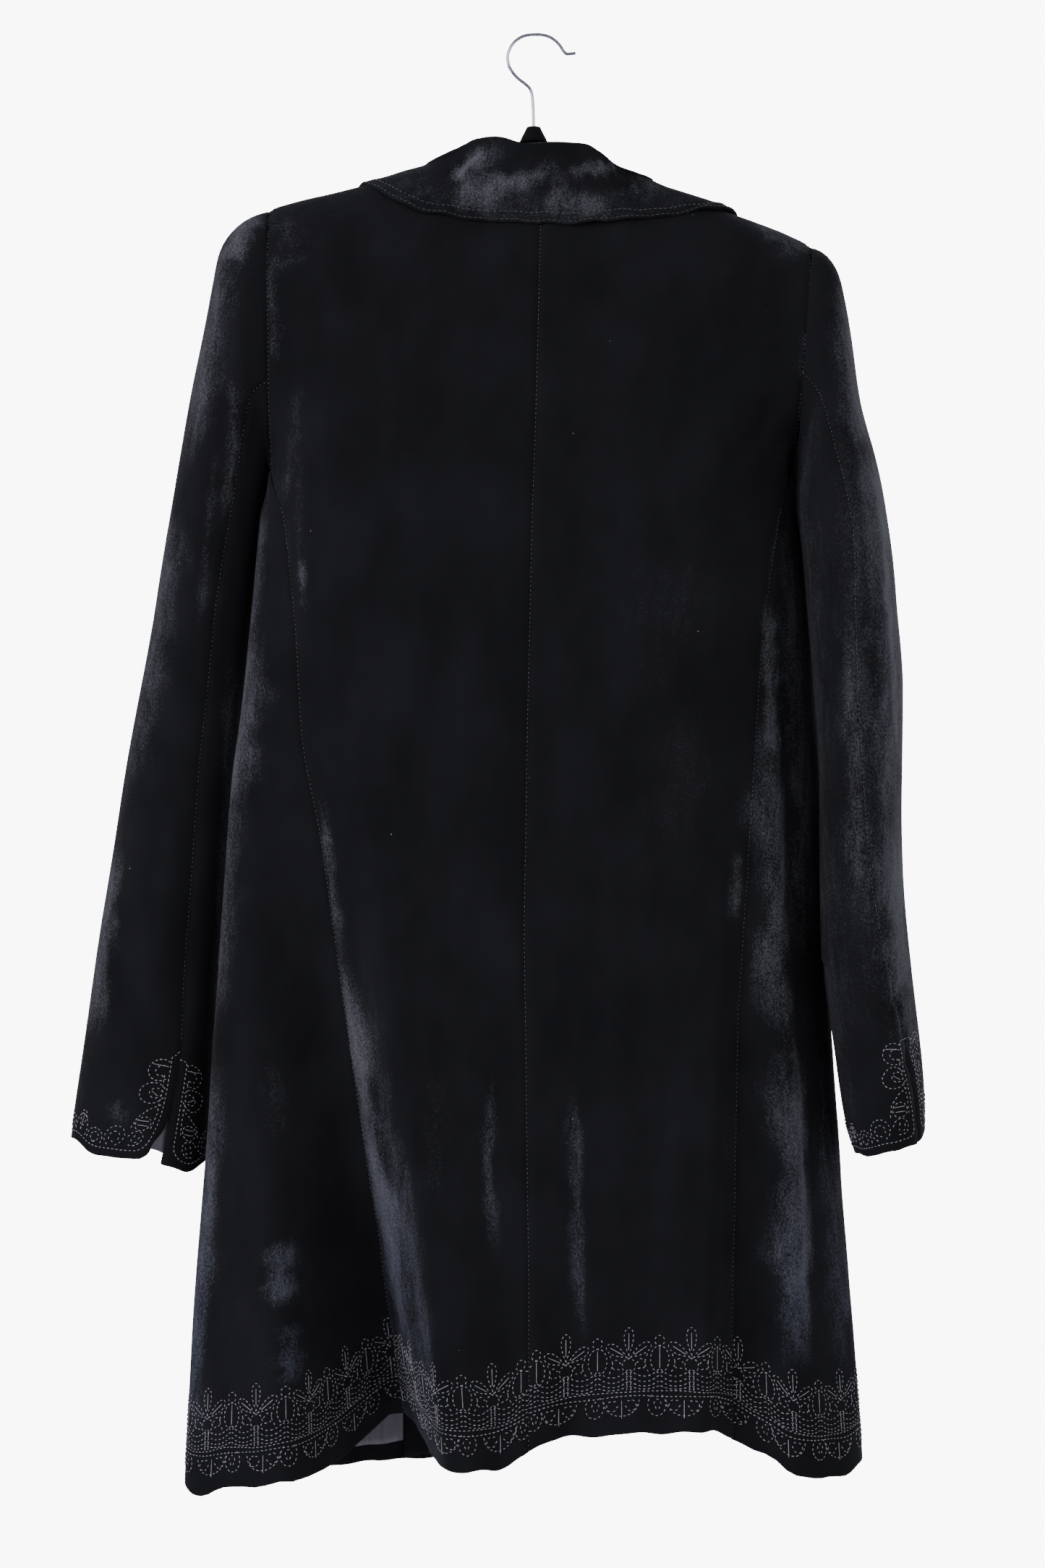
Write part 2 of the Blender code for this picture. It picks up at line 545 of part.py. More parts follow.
def makeFront(side, material):
    x, z = gridBetween(lambda at: frontEdgeX(side, at), lambda at: np.full_like(at, FRONT_EDGE),
                       FRONT_COLUMNS[side], FRONT_HEM, FRONT_TOP)
    return panelWall("front_" + side, x, z, "front", side, material)


def frontEdgeX(side, z):
    """Outer edge of a front: the side body's seam below the underarm, the armhole above it."""
    return np.where(z < UNDERARM + 0.01, frontSeamX(side, z), along(ARMHOLE, side, z))


def makeSide(side, material):
    """Side body, from the front seam round the side edge to the seam beside the centre back."""
    sign = -1 if side == "left" else 1
    share = np.array(SIDE_COLUMNS)[None, :]
    levels = np.array(LOWER_LEVELS)[:, None]

    def turnAt(z):
        return seamTurn(side, "front", z) * (1 - share) + seamTurn(side, "back", z) * share

    lowTurn = turnAt(np.full_like(share, np.mean(BACK_HEM["z"])))
    hemX = ringPoint(lowTurn, np.full_like(lowTurn, np.mean(BACK_HEM["z"])))[..., 0]
    hemZ = np.where(np.cos(lowTurn) > 0, along(BACK_HEM, "z", hemX, "x"), along(FRONT_HEM, "z", hemX, "x"))
    z = hemZ + (UNDERARM - hemZ) * levels
    turn = turnAt(z)
    outer = ringPoint(turn, z)
    inward = ringInward(turn, z)
    outer[-1, :, 0] = along(ARMHOLE, side, outer[-1, :, 2])
    inward[-1] = armholeInward(outer[-1])
    inner = outer + inward * WALL
    pullIn(outer, inner, ["start", "end"])
    outer[-1, :, 0] -= sign * SEAM_GAP / 2
    inner[-1, :, 0] = along(ARMHOLE, side, inner[-1, :, 2]) - sign * SEAM_GAP / 2
    inner[-1, 1:-1, 0] -= sign * SEAM_GAP
    return clothWall("side_" + side, outer, inner, material, flip=side == "right")


def armholeOutline(side):
    """The armhole's closed outline in y and z, from the shoulder down the back and up the front."""
    topZ = SHOULDER_POINT
    for turn in range(TOP_TURNS):
        topZ = along(BACK_TOP, "z", along(ARMHOLE, side, topZ), "x")
    drops = np.linspace(0, 1, OUTLINE_STEPS) ** 2
    backZ = topZ + (UNDERARM - topZ) * drops
    backX = along(ARMHOLE, side, backZ)
    back = np.stack([bodyDepth(backX, backZ, "back"), backZ], -1)
    front = np.stack([bodyDepth(backX, backZ, "front"), backZ], -1)
    return np.concatenate([back, front[::-1]])


def armholePoint(side, angle):
    """Point of the armhole's outline at an angle about its middle: 0 on top, 90 degrees at the back."""
    outline = outlines[side]
    fromMiddle = (outline - ARMHOLE_CENTRE) / ARMHOLE_HALF
    angles = np.unwrap(np.arctan2(-fromMiddle[:, 0], fromMiddle[:, 1]))
    order = np.argsort(angles)
    angles, outline = angles[order], outline[order]
    turn = np.mod(angle - angles[0], 2 * math.pi) + angles[0]
    wrapped = np.append(angles, angles[0] + 2 * math.pi)
    y = np.interp(turn, wrapped, np.append(outline[:, 0], outline[0, 0]))
    z = np.interp(turn, wrapped, np.append(outline[:, 1], outline[0, 1]))
    return np.stack([along(ARMHOLE, side, z), y, z], -1)


def sleevePoint(side, angle, ring):
    """Point of a sleeve: angle 0 on its outer edge, 90 degrees at the back, 180 beside the body."""
    angle, ring = np.broadcast_arrays(np.asarray(angle, float), np.asarray(ring, float))
    rows = SLEEVE[side]
    numbers = np.arange(len(rows["outerX"]), dtype=float)
    at = {name: smoothCurve(numbers, rows[name], ring) for name in rows}
    across, depth = np.cos(angle), np.sin(angle)
    x = (at["outerX"] + at["innerX"]) / 2 + (at["outerX"] - at["innerX"]) / 2 * across
    z = (at["outerZ"] + at["innerZ"]) / 2 + (at["outerZ"] - at["innerZ"]) / 2 * across
    y = (at["back"] + at["front"]) / 2 + (at["back"] - at["front"]) / 2 * depth
    turned = np.degrees(np.mod(angle + math.pi, 2 * math.pi) - math.pi)
    lastRing = numbers[-1]
    z = z - along(CUFF_DIP, side, turned, "angle") * smoothStep((ring - (lastRing - 3)) / 3)
    early = np.clip(ring / CAP_BLEND, 0, 1)[..., None]
    share = early * (2 - early)
    return armholePoint(side, angle) * (1 - share) + np.stack([x, y, z], -1) * share


def sleeveInward(side, angle, ring):
    sign = 1 if side == "left" else -1
    reach = 0.02
    lowRing, highRing = np.maximum(ring - reach, 0), np.minimum(ring + reach, len(SLEEVE[side]["back"]) - 1)
    acrossAngle = sleevePoint(side, angle + reach, ring) - sleevePoint(side, angle - reach, ring)
    acrossRing = sleevePoint(side, angle, highRing) - sleevePoint(side, angle, lowRing)
    across = unit(np.cross(acrossAngle, acrossRing)) * sign
    share = smoothStep(ring / INWARD_BLEND)[..., None]
    return unit(armholeInward(sleevePoint(side, angle, ring)) * (1 - share) + across * share)


def makeSleeve(side, part, material):
    rows = SLEEVE[side]
    numbers = np.arange(len(rows["outerX"]), dtype=float)
    ring = np.array(SLEEVE_ROWS)[:, None]
    hind = smoothCurve(numbers, rows["hind"], ring)
    fore = smoothCurve(numbers, rows["fore"], ring)
    isVent = side == "left"
    last = numbers[-1]
    if part == "upper":
        columns = np.array(UPPER_SLEEVE_COLUMNS)[None, :]
        if isVent:
            hind = hind - VENT_OPENING * smoothStep((ring - VENT_START) / (last - VENT_START))
        angle = np.radians(hind * (1 - columns) + fore * columns)
    else:
        columns = np.array(UNDER_SLEEVE_COLUMNS)[None, :]
        angle = np.radians((fore + 360) * (1 - columns) + hind * columns)
    ring = np.broadcast_to(ring, angle.shape)
    outer = sleevePoint(side, angle, ring)
    inward = sleeveInward(side, angle, ring)
    if part == "upper" and isVent:
        outer[-1, 0, 2] += VENT_ROUND
        outer[-1, 1, 2] += VENT_ROUND_BESIDE
    inner = outer + inward * WALL
    pullIn(outer, inner, ["start", "end"])
    away = -SEAM_GAP / 2 if side == "left" else SEAM_GAP / 2
    outer[0, :, 0] += away
    inner[0, :, 0] = along(ARMHOLE, side, inner[0, :, 2]) + away
    return clothWall(part + "_sleeve_" + side, outer, inner, material, flip=side == "right")


def wrapOf(drop):
    """Way from the shoulder line over the cloth for a drop below it, with the drop's sign."""
    size = np.abs(drop)
    return np.sign(drop) * (size + np.sqrt(size ** 2 + 4 * WRAP_SCALE * size)) / 2


def neckHeights():
    """Height of the neck seam at each of the collar's rows."""
    x = COLLAR["neckX"]
    rows = np.arange(len(x))
    isFront = (rows < LEFT_RIDGE_ROW) | (rows > RIGHT_RIDGE_ROW)
    return np.where(isFront, along(FRONT_TOP, "z", x, "x"), along(BACK_TOP, "z", x, "x"))


def wrapAt(column, heights):
    """Way over the shoulder line at which each of the collar's rows reaches a height."""
    rows = np.arange(len(heights))
    sign = np.where((rows < LEFT_RIDGE_ROW) | (rows > RIGHT_RIDGE_ROW), 1, -1)
    sign[[LEFT_RIDGE_ROW, RIGHT_RIDGE_ROW]] = 0
    return wrapOf(sign * np.maximum(along(SHOULDER, "z", COLLAR[column], "x") - heights, 0))


def onCoat(x, wrap):
    """Point of the coat and its outward direction at a way over the shoulder line: positive in front."""
    side, top = ("front", FRONT_TOP) if wrap > 0 else ("back", BACK_TOP)
    drop = wrap ** 2 / (abs(wrap) + WRAP_SCALE)
    seam = float(along(top, "z", x, "x"))
    z = min(float(along(SHOULDER, "z", x, "x")) - drop, seam)
    point = np.array([x, float(bodyDepth(x, z, side)), z])
    flat = -bodyInward(np.array(x), np.array(z - 0.6), side)
    return point, unit(flat + np.array([0, 0, SEAM_RISE]) * math.exp((z - seam) / SEAM_RISE_REACH))


def collarSection(number):
    """Middle line of the collar from the foot of the stand over the fold down to the edge."""
    numbers = np.arange(len(COLLAR["neckX"]), dtype=float)
    at = {name: float(smoothCurve(numbers, COLLAR[name], number)) for name in COLLAR}
    isFront = number < LEFT_RIDGE_ROW or number > RIGHT_RIDGE_ROW
    edgeWrap = float(smoothCurve(numbers, wrapAt("edgeX", COLLAR["edgeZ"]), number))
    neckWrap = float(smoothCurve(numbers, wrapAt("neckX", neckHeights()), number))
    top = FRONT_TOP if isFront else BACK_TOP
    neck = np.array([at["neckX"], float(along(top, "y", at["neckX"], "x")),
                     float(along(top, "z", at["neckX"], "x"))])
    fold = np.array([at["foldX"], at["foldY"], at["foldZ"]])
    toMiddle = unit(np.array([-neck[0], -neck[1] * 2, 0.0]))
    innerFold = fold + toMiddle * STAND_INSET - np.array([0, 0, STAND_TOP_DROP])
    foot = neck + (toMiddle + np.array([0, 0, 1.0])) * (STAND_FOOT_FRONT if isFront else STAND_FOOT)
    up = np.array([0, 0, STAND_BOW])
    stand = [foot * (1 - t) + innerFold * t + up * math.sin(math.pi * t) for t in STAND_STEPS]
    crown = [fold + toMiddle * STAND_INSET * inset - np.array([0, 0, down]) for inset, down in CROWN]
    fall = []
    for t in FALL_STEPS:
        x = at["edgeX"] + (at["neckX"] - at["edgeX"]) * t
        point, outward = onCoat(x, edgeWrap * (1 - t) + neckWrap * t)
        lifted = point + outward * COLLAR_LIFT
        fall.append(lifted + (crown[-1] - lifted) * t ** FALL_CURVE)
    return np.array(stand + crown + fall)


def makeCollar(material):
    steps = np.linspace(0, len(COLLAR["neckX"]) - 1, COLLAR_STEPS)
    grid = np.array([collarSection(number) for number in steps])
    rows, columns = grid.shape[:2]
    faces = [[row * columns + column, row * columns + column + 1,
              (row + 1) * columns + column + 1, (row + 1) * columns + column]
             for row in range(rows - 1) for column in range(columns - 1)]
    piece = addMesh("collar", grid.reshape(-1, 3) * MM, faces, material)
    addWall(piece, COLLAR_WALL)
    return piece


def addWall(piece, thickness):
    wall = piece.modifiers.new("wall", "SOLIDIFY")
    wall.thickness = thickness * MM
    wall.offset = 0
    wall.use_even_offset = True
    wall.use_quality_normals = True


def makeFrontInside(name, box, material):
    """Lining or facing on the inner face of the left front."""
    x = np.linspace(box["left"], box["right"], box["columns"])[None, :]
    bottom = along(FRONT_HEM, "z", x, "x") + box["bottomLift"]
    z = bottom + (box["top"] - bottom) * np.linspace(0, 1, box["rows"])[:, None]
    x = np.broadcast_to(x, z.shape)
    outer = np.stack([x, bodyDepth(x, z, "front"), z], -1)
    inward = bodyInward(x, z, "front")
    near = outer + inward * (WALL + LINING_GAP)
    return clothWall(name, near, near + inward * LINING, material, flip=True)


def makeCuffLining(material):
    """Strip of lining behind the vent of the left cuff."""
    ring = np.linspace(CUFF_LINING["top"], CUFF_LINING["bottom"], CUFF_LINING["rows"])[:, None]
    turns = np.linspace(CUFF_LINING["start"], CUFF_LINING["end"], CUFF_LINING["columns"])
    angle = np.radians(turns)[None, :]
    ring, angle = np.broadcast_arrays(ring, angle)
    outer = sleevePoint("left", angle, ring)
    inward = sleeveInward("left", angle, ring)
    near = outer + inward * (WALL + LINING_GAP)
    return clothWall("cuff_lining_left", near, near + inward * LINING, material, flip=True)


def makeHangerArms(material):
    """Flat bar under the shoulder line: a filled outline with rounded edges."""
    x = np.linspace(HANGER_TOP["x"][0], HANGER_TOP["x"][-1], 37)
    upper = along(HANGER_TOP, "z", x, "x")
    lower = upper - along(HANGER_TOP, "height", x, "x")
    outline = list(zip(x, upper)) + list(zip(x[::-1], lower[::-1]))
    curve = bpy.data.curves.new("hanger_arms", "CURVE")
    curve.dimensions = "2D"
    curve.fill_mode = "BOTH"
    curve.extrude = HANGER_THICK / 2 * MM
    spline = curve.splines.new("POLY")
    spline.points.add(len(outline) - 1)
    for point, (px, pz) in zip(spline.points, outline):
        point.co = (px * MM, pz * MM, 0, 1)
    spline.use_cyclic_u = True
    curve.materials.append(material)
    piece = bpy.data.objects.new("hanger_arms", curve)
    piece.rotation_euler = (math.pi / 2, 0, 0)
    coat.objects.link(piece)
    return piece


def makeHangerNeck(material):
    """Turned collar on the arms that holds the hook's stem."""
    profile = [(0, HANGER_NECK["z"][-1])]
    profile += [(radius, z) for radius, z in zip(HANGER_NECK["radius"][::-1], HANGER_NECK["z"][::-1])]
    profile += [(0, HANGER_NECK["z"][0])]
    points = [(radius * MM, 0, z * MM) for radius, z in profile]
    mesh = bpy.data.meshes.new("hanger_neck")
    mesh.from_pydata(points, [(i, i + 1) for i in range(len(points) - 1)], [])
    mesh.materials.append(material)
    piece = bpy.data.objects.new("hanger_neck", mesh)
    piece.location.x = HANGER_NECK_X * MM
    turned = piece.modifiers.new("turned", "SCREW")
    turned.steps = turned.render_steps = 20
    turned.use_merge_vertices = True
    turned.merge_threshold = 0.00001
    turned.use_smooth_shade = True
    coat.objects.link(piece)
    return piece


def makeHook(material):
    """Wire hook through its own points."""
    numbers = np.arange(len(HOOK_ROUTE["x"]), dtype=float)
    steps = np.linspace(0, numbers[-1], (len(numbers) - 1) * HOOK_STEPS + 1)
    x = smoothCurve(numbers, HOOK_ROUTE["x"], steps)
    z = smoothCurve(numbers, HOOK_ROUTE["z"], steps)
    curve = bpy.data.curves.new("hanger_hook", "CURVE")
    curve.dimensions = "3D"
    curve.bevel_depth = HOOK_WIRE / 2 * MM
    curve.bevel_resolution = 2
    curve.use_fill_caps = True
    spline = curve.splines.new("POLY")
    spline.points.add(len(steps) - 1)
    for point, px, pz in zip(spline.points, x, z):
        point.co = (px * MM, 0, pz * MM, 1)
    curve.materials.append(material)
    piece = bpy.data.objects.new("hanger_hook", curve)
    coat.objects.link(piece)
    return piece


for thing in list(bpy.data.objects):
    bpy.data.objects.remove(thing)
coat = bpy.data.collections.new("velvet coat")
bpy.context.scene.collection.children.link(coat)
velvet = makeMaterial(VELVET)
velvetSide = makeMaterial(VELVET_SIDE)
liningCloth = makeMaterial(LINING_CLOTH)
outlines = {side: armholeOutline(side) for side in ("left", "right")}

for side in ("left", "right"):
    makeBack(side, velvet)
    makeSide(side, velvetSide)
    makeFront(side, velvet)
    makeSleeve(side, "upper", velvet)
    makeSleeve(side, "under", velvetSide)
makeCollar(velvet)
makeFrontInside("front_lining_left", LINING_BOX, liningCloth)
makeFrontInside("front_facing_left", FACING_BOX, velvet)
makeCuffLining(liningCloth)
flock = makeMaterial(FLOCK)
makeHangerArms(flock)
makeHangerNeck(flock)
makeHook(makeMaterial(STEEL))
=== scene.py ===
import math

import bpy
import numpy as np
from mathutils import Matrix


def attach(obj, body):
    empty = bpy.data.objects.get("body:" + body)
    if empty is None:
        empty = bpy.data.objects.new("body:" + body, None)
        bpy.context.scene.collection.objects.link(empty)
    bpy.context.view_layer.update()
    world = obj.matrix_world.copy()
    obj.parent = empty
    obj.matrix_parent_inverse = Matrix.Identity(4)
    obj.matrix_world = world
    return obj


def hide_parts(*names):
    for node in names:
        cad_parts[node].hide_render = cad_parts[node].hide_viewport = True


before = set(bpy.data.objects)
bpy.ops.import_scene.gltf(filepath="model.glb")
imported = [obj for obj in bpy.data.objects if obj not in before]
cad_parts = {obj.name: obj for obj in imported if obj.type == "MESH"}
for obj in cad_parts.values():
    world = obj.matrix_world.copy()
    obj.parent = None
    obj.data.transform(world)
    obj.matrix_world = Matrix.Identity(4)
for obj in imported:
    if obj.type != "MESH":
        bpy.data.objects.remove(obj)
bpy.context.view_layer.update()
print("frame loaded")

# Lengths are in millimetres, +Z up. The back of the coat faces -Y and its fronts face +Y.
mm = 0.001
underarm = -303.0
backRounding = 70.0         # height over which the back curves into its top line
frontRounding = 30.0
armholeCentre = (-16.0, -212.0)     # y and z
armholeHalf = (38.0, 90.0)
upperBlend = 45.0           # height over which the body's section turns into the yoke's
panelEase = 32.0            # height over which the panels' edges run into the armhole
sideEase = 30.0
frontEdge = -4.0            # where the fronts meet
shoulderPoint = -120.0
topTurns = 5                # rounds that settle a panel's top line where its armhole slants
# points inside the body, the sleeves and the left cuff, that their cloth faces away from
bodyMiddle = (0, -20, -560)
sleeveMiddle = {"left": (-235, -10, -470), "right": (235, -10, -470)}
cuffMiddle = (-235, -10, -740)

coat = {
    "wall": 1.8,            # velvet with its lining
    "collarWall": 2.2,
    "pitch": 4.2,           # spacing of the mesh over the cloth
    "seamDip": 1.2,         # how far the cloth sinks at a seam
    "seamWidth": 3.4,
    "pucker": 0.28,         # small waves along the seams
    "ripple": 0.45,         # faint unevenness all over
    "rippleWaves": (22, 120, 9),    # shortest, longest and how many
    "hemTurning": 36.0,     # width of velvet turned in at the lower edges
    "facing": 88.0,
    "hemWave": 0.8,         # unevenness of the turned-in hems
    "underarmFill": 1.5,    # how far sleeve and body swell together below the armhole
    "besideSwell": 0.6,     # and where they hang beside each other
}
# widths and heights in millimetres that set how many lines each mesh has
meshFor = {
    "panelWidth": 215, "panelHeight": 680, "yokeLines": 62,
    "sideWidth": 120, "sideHeight": 690,
    "armholeLines": 60, "upperWidth": 205, "underWidth": 110,
    "collarHeight": 100, "collarPitch": 2.6, "collarSections": 190,
    "liningLines": 34, "stripLines": (16, 14),
}
embroidery = {
    "pitch": 3.1,           # from one stitch to the next
    "dash": 2.0,
    "thread": 0.72,
    "half": 21.5,           # from a sprig to the next medallion
    "firstSprig": 27.5,     # from the centre back seam
    "lowShift": -5.0,       # the anchors hang a little nearer to the centre back than their sprigs
    "barPitch": 1.0,        # bars are sewn solid
    "barShare": 0.8,        # with a finer thread
    "ventLine": 6.2,
    "lift": 0.25,
    "middle": 35.0,         # height of the border's middle
    "step": 0.9,            # between the points of a laid path
    "seamMargin": 1.2,
    "evenLimits": (-6, 14),
}


def table(columns, rows):
    return dict(zip(columns.split(), np.array(rows, float).T))


# One row for each height: side edges and their depths, back and front, and how square the section is
bodyRows = table("z left right leftEdge rightEdge back front square", [
    (-303, -186.2, 174.5, -24, -6, -72, 26, 8.0),
    (-335, -190.3, 180.3, -31, 2, -75, 26, 5.8),
    (-370, -193.4, 185.6, -33, 8, -77, 26, 4.5),
    (-466, -202.9, 192.4, -35, 8, -79, 26, 3.2),
    (-514, -209.2, 195.6, -37, 6, -79, 26, 3.0),
    (-597, -215.3, 197.0, -38, 4, -81, 26, 2.8),
    (-677, -221.2, 202.0, -38, 0, -84, 26, 2.7),
    (-755, -227.3, 206.2, -38, -12, -87, 26, 2.6),
    (-850, -234.7, 211.8, -36, -28, -90, 26, 2.6),
    (-925, -239.3, 217.6, -36, -34, -92, 26, 2.6),
    (-1005, -243.0, 223.2, -36, -36, -94, 27, 2.6),
])
yokeRows = table("z backEdge backMiddle frontEdge frontMiddle", [
    (-303, -40, -72, 14, 26), (-290, -47, -72, 17, 26), (-260, -52, -71, 19, 26), (-220, -54, -67, 20, 26),
    (-180, -54, -57, 21, 26), (-150, -52, -46, 21, 26), (-125, -50, -34.5, 21, 26), (-90, -48, -26, 20, 26),
])
armholeRows = table("z left right", [(-305, -183.0, 174.0), (-120, -185.7, 189.0)])
backSeams = table("z left middle right", [
    (-120, -185.7, 1.5, 189.0), (-290, -183.3, -3.0, 174.8), (-303, -182.0, -3.5, 171.3),
    (-332, -174.0, -4.5, 164.8), (-373, -168.8, -5.5, 158.0), (-418, -164.6, -6.5, 152.3),
    (-482, -161.0, -8.0, 146.8), (-550, -149.0, -9.0, 142.6), (-610, -140.1, -10.0, 139.0),
    (-693, -127.8, -9.0, 134.0), (-772, -116.0, -8.0, 132.4), (-868, -103.2, -7.0, 130.6),
    (-965, -92.9, -7.0, 130.5), (-1005, -90.4, -7.0, 130.4),
])
frontSeams = table("z share", [(-303, 0.985), (-336, 0.968), (-400, 0.96), (-700, 0.95), (-1010, 0.93)])
leftShoulder = [(-195, -124.5, 0), (-183, -119.5, 0), (-166.5, -114.5, 0), (-144.5, -109.5, 0),
                (-120, -103.5, 0), (-95, -98, 0), (-70, -93, 0)]
rightShoulder = [(68, -101.5, 0), (100, -111, 0), (137, -124.5, 0), (151.5, -129.5, 0), (165, -134.5, 0),
                 (176, -139.5, 0), (195, -149, 0)]


def topLine(neckline):
    return table("x z y", leftShoulder + neckline + rightShoulder)


backTop = topLine([(-52, -99, -17), (-28, -106, -27), (0, -112, -30), (30, -109.5, -27), (55, -104, -17)])
frontTop = topLine([(-66, -106, 13), (-54, -130, 21), (-32, -162, 25), (-4, -188, 26), (30, -166, 25),
                    (52, -137, 22), (64, -115, 14)])
shoulderLine = topLine([(-30, -86, 0), (0, -84, 0), (30, -89, 0)])
backHem = table("x z", [
    (-242, -995), (-236, -1000), (-225, -998), (-212, -993), (-194, -990), (-168, -986), (-140, -980),
    (-126, -971), (-112, -960), (-99, -950), (-89, -952), (-79, -962), (-66, -975), (-32, -977),
    (-22, -974), (-12, -968), (8, -958), (47, -955), (91, -951), (116, -952), (133, -960), (152, -969),
    (174, -982), (192, -986), (207, -985), (222, -978),
])
frontHem = table("x z", [
    (-242, -995), (-186, -994), (-145, -992), (-98, -988), (-60, -984), (-30, -978), (0, -971),
    (30, -965), (60, -962), (100, -962), (130, -966), (160, -974), (222, -978),
])
# Large folds: a soft trough (positive) or ridge (negative) that drifts in x and grows towards the hem
foldColumns = "start xStart xMiddle xHem depth leftWidth rightWidth growth"
backFolds = table(foldColumns, [
    (-400, -168, -125, -92, 88, 78, 36, 1.6),
    (-430, -146, -102, -57, -13, 26, 64, 1.3),
    (-430, -192, -188, -184, -9, 30, 40, 1.0),
    (-600, 27, 23, 29, 10, 45, 58, 1.0),
    (-520, 125, 117, 107, -12, 58, 12, 1.0),
    (-520, 142, 135, 132, 9, 14, 22, 0.8),
    (-430, 154, 166, 180, -11, 30, 30, 0.9),
    (-640, -50, -35, -22, 5, 26, 24, 1.0),
])
frontFolds = table(foldColumns, [
    (-420, -120, -132, -140, -9, 60, 50, 1.0),
    (-480, 96, 104, 112, -10, 55, 50, 1.0),
    (-560, -40, -46, -52, 5, 45, 45, 1.0),
    (-560, 34, 40, 46, 5, 45, 45, 1.0),
])
foldMiddle = -720.0
foldEnd = -1000.0


def smoothCurve(knots, values, at):
    # monotone cubic through a table's rows
    order = np.argsort(knots)
    knots, values = knots[order], values[order]
    at = np.clip(at, knots[0], knots[-1])
    steps = np.diff(knots)
    rises = np.diff(values) / steps
    slopes = np.zeros_like(values)
    inner = rises[:-1] * rises[1:] > 0
    before, after = steps[:-1], steps[1:]
    weighted = (3 * (before + after)) / (
        (2 * after + before) / np.where(inner, rises[:-1], 1)
        + (after + 2 * before) / np.where(inner, rises[1:], 1))
    slopes[1:-1] = np.where(inner, weighted, 0)
    slopes[0], slopes[-1] = rises[0], rises[-1]
    place = np.clip(np.searchsorted(knots, at) - 1, 0, len(steps) - 1)
    step = steps[place]
    t = (at - knots[place]) / step
    return (values[place] * (2 * t**3 - 3 * t**2 + 1) + slopes[place] * step * (t**3 - 2 * t**2 + t)
            + values[place + 1] * (3 * t**2 - 2 * t**3) + slopes[place + 1] * step * (t**3 - t**2))


def along(rows, column, at, key="z"):
    return smoothCurve(rows[key], rows[column], at)


def atRow(rows, number):
    # every column of a table at a number between its rows
    numbers = np.arange(len(next(iter(rows.values()))), dtype=float)
    return {name: smoothCurve(numbers, rows[name], number) for name in rows}


def addedUp(steps):
    return np.concatenate([[0], np.cumsum(steps)])


def smoothStep(t):
    t = np.clip(t, 0, 1)
    return t * t * (3 - 2 * t)


def unit(vectors):
    return vectors / np.maximum(np.linalg.norm(vectors, axis=-1, keepdims=True), 1e-9)


def foldDepth(folds, x, z):
    total = np.zeros_like(x)
    for row in range(len(folds["start"])):
        start, depth, growth = folds["start"][row], folds["depth"][row], folds["growth"][row]
        places = np.array([folds[name][row] for name in ("xHem", "xMiddle", "xStart")])
        centre = smoothCurve(np.array([foldEnd, foldMiddle, start]), places, z)
        offset = x - centre
        width = np.where(offset < 0, folds["leftWidth"][row], folds["rightWidth"][row])
        share = np.clip((start - z) / (start - foldEnd), 0, 1.02) ** growth
        total = total + depth * share * np.clip(1 - (offset / width) ** 2, 0, 1) ** 2
    return total


def section(z):
    # middle and half width of the body at a height
    left, right = along(bodyRows, "left", z), along(bodyRows, "right", z)
    return (left + right) / 2, (right - left) / 2


def lowerDepth(x, z, side):
    middle, half = section(z)
    square = along(bodyRows, "square", z)
    share = np.clip(np.abs(x - middle) / half, 0, 1)
    toRight = np.clip((x - middle) / half, -1, 1) / 2 + 0.5
    edge = along(bodyRows, "leftEdge", z) * (1 - toRight) + along(bodyRows, "rightEdge", z) * toRight
    full = along(bodyRows, side, z)
    folds = foldDepth(backFolds if side == "back" else frontFolds, x, z) * (1 - share ** 8)
    if side == "front":
        folds = -folds
    return edge + (full - edge) * np.sqrt(np.clip(1 - share ** square, 0, 1)) + folds


def upperDepth(x, z, side):
    left, right = along(armholeRows, "left", z), along(armholeRows, "right", z)
    share = np.clip(np.abs(x - (left + right) / 2) / ((right - left) / 2), 0, 1)
    edge, middle = along(yokeRows, side + "Edge", z), along(yokeRows, side + "Middle", z)
    full = edge + (middle - edge) * (1 - share ** 3)
    top = backTop if side == "back" else frontTop
    rounding = backRounding if side == "back" else frontRounding
    drop = np.clip((along(top, "z", x, "x") - z) / rounding, 0, 1)
    start = along(top, "y", x, "x")
    return start + (full - start) * np.sqrt(1 - (1 - drop) ** 2)


def bodyDepth(x, z, side):
    x, z = np.broadcast_arrays(np.asarray(x, float), np.asarray(z, float))
    middle, half = section(np.array(underarm))
    widest = np.where(z > underarm - 0.01, half * frontSeams["share"][0], np.inf)
    lower = lowerDepth(np.clip(x, middle - widest, middle + widest), np.minimum(z, underarm), side)
    upper = upperDepth(x, np.maximum(z, underarm), side)
    share = smoothStep((z - underarm) / upperBlend)
    return lower * (1 - share) + upper * share


def spread(length, pitch, fineStart=True, fineEnd=True):
    # shares from 0 to 1, a pitch apart, with a few closer lines beside the ends
    near = np.array([0.4, 0.9, 1.7, 3.0])
    low = np.concatenate([[0], near]) if fineStart else np.array([0.0])
    high = np.concatenate([length - near[::-1], [length]]) if fineEnd else np.array([length])
    between = np.linspace(low[-1], high[0], max(3, round((high[0] - low[-1]) / pitch) + 1))[1:-1]
    return np.concatenate([low, between, high]) / length


def toArmhole(side, x, z, height):
    # x of an edge that runs into the armhole's plane at the underarm, over a height
    near = smoothStep((z - (underarm - height)) / height)
    return x * (1 - near) + along(armholeRows, side, z) * near


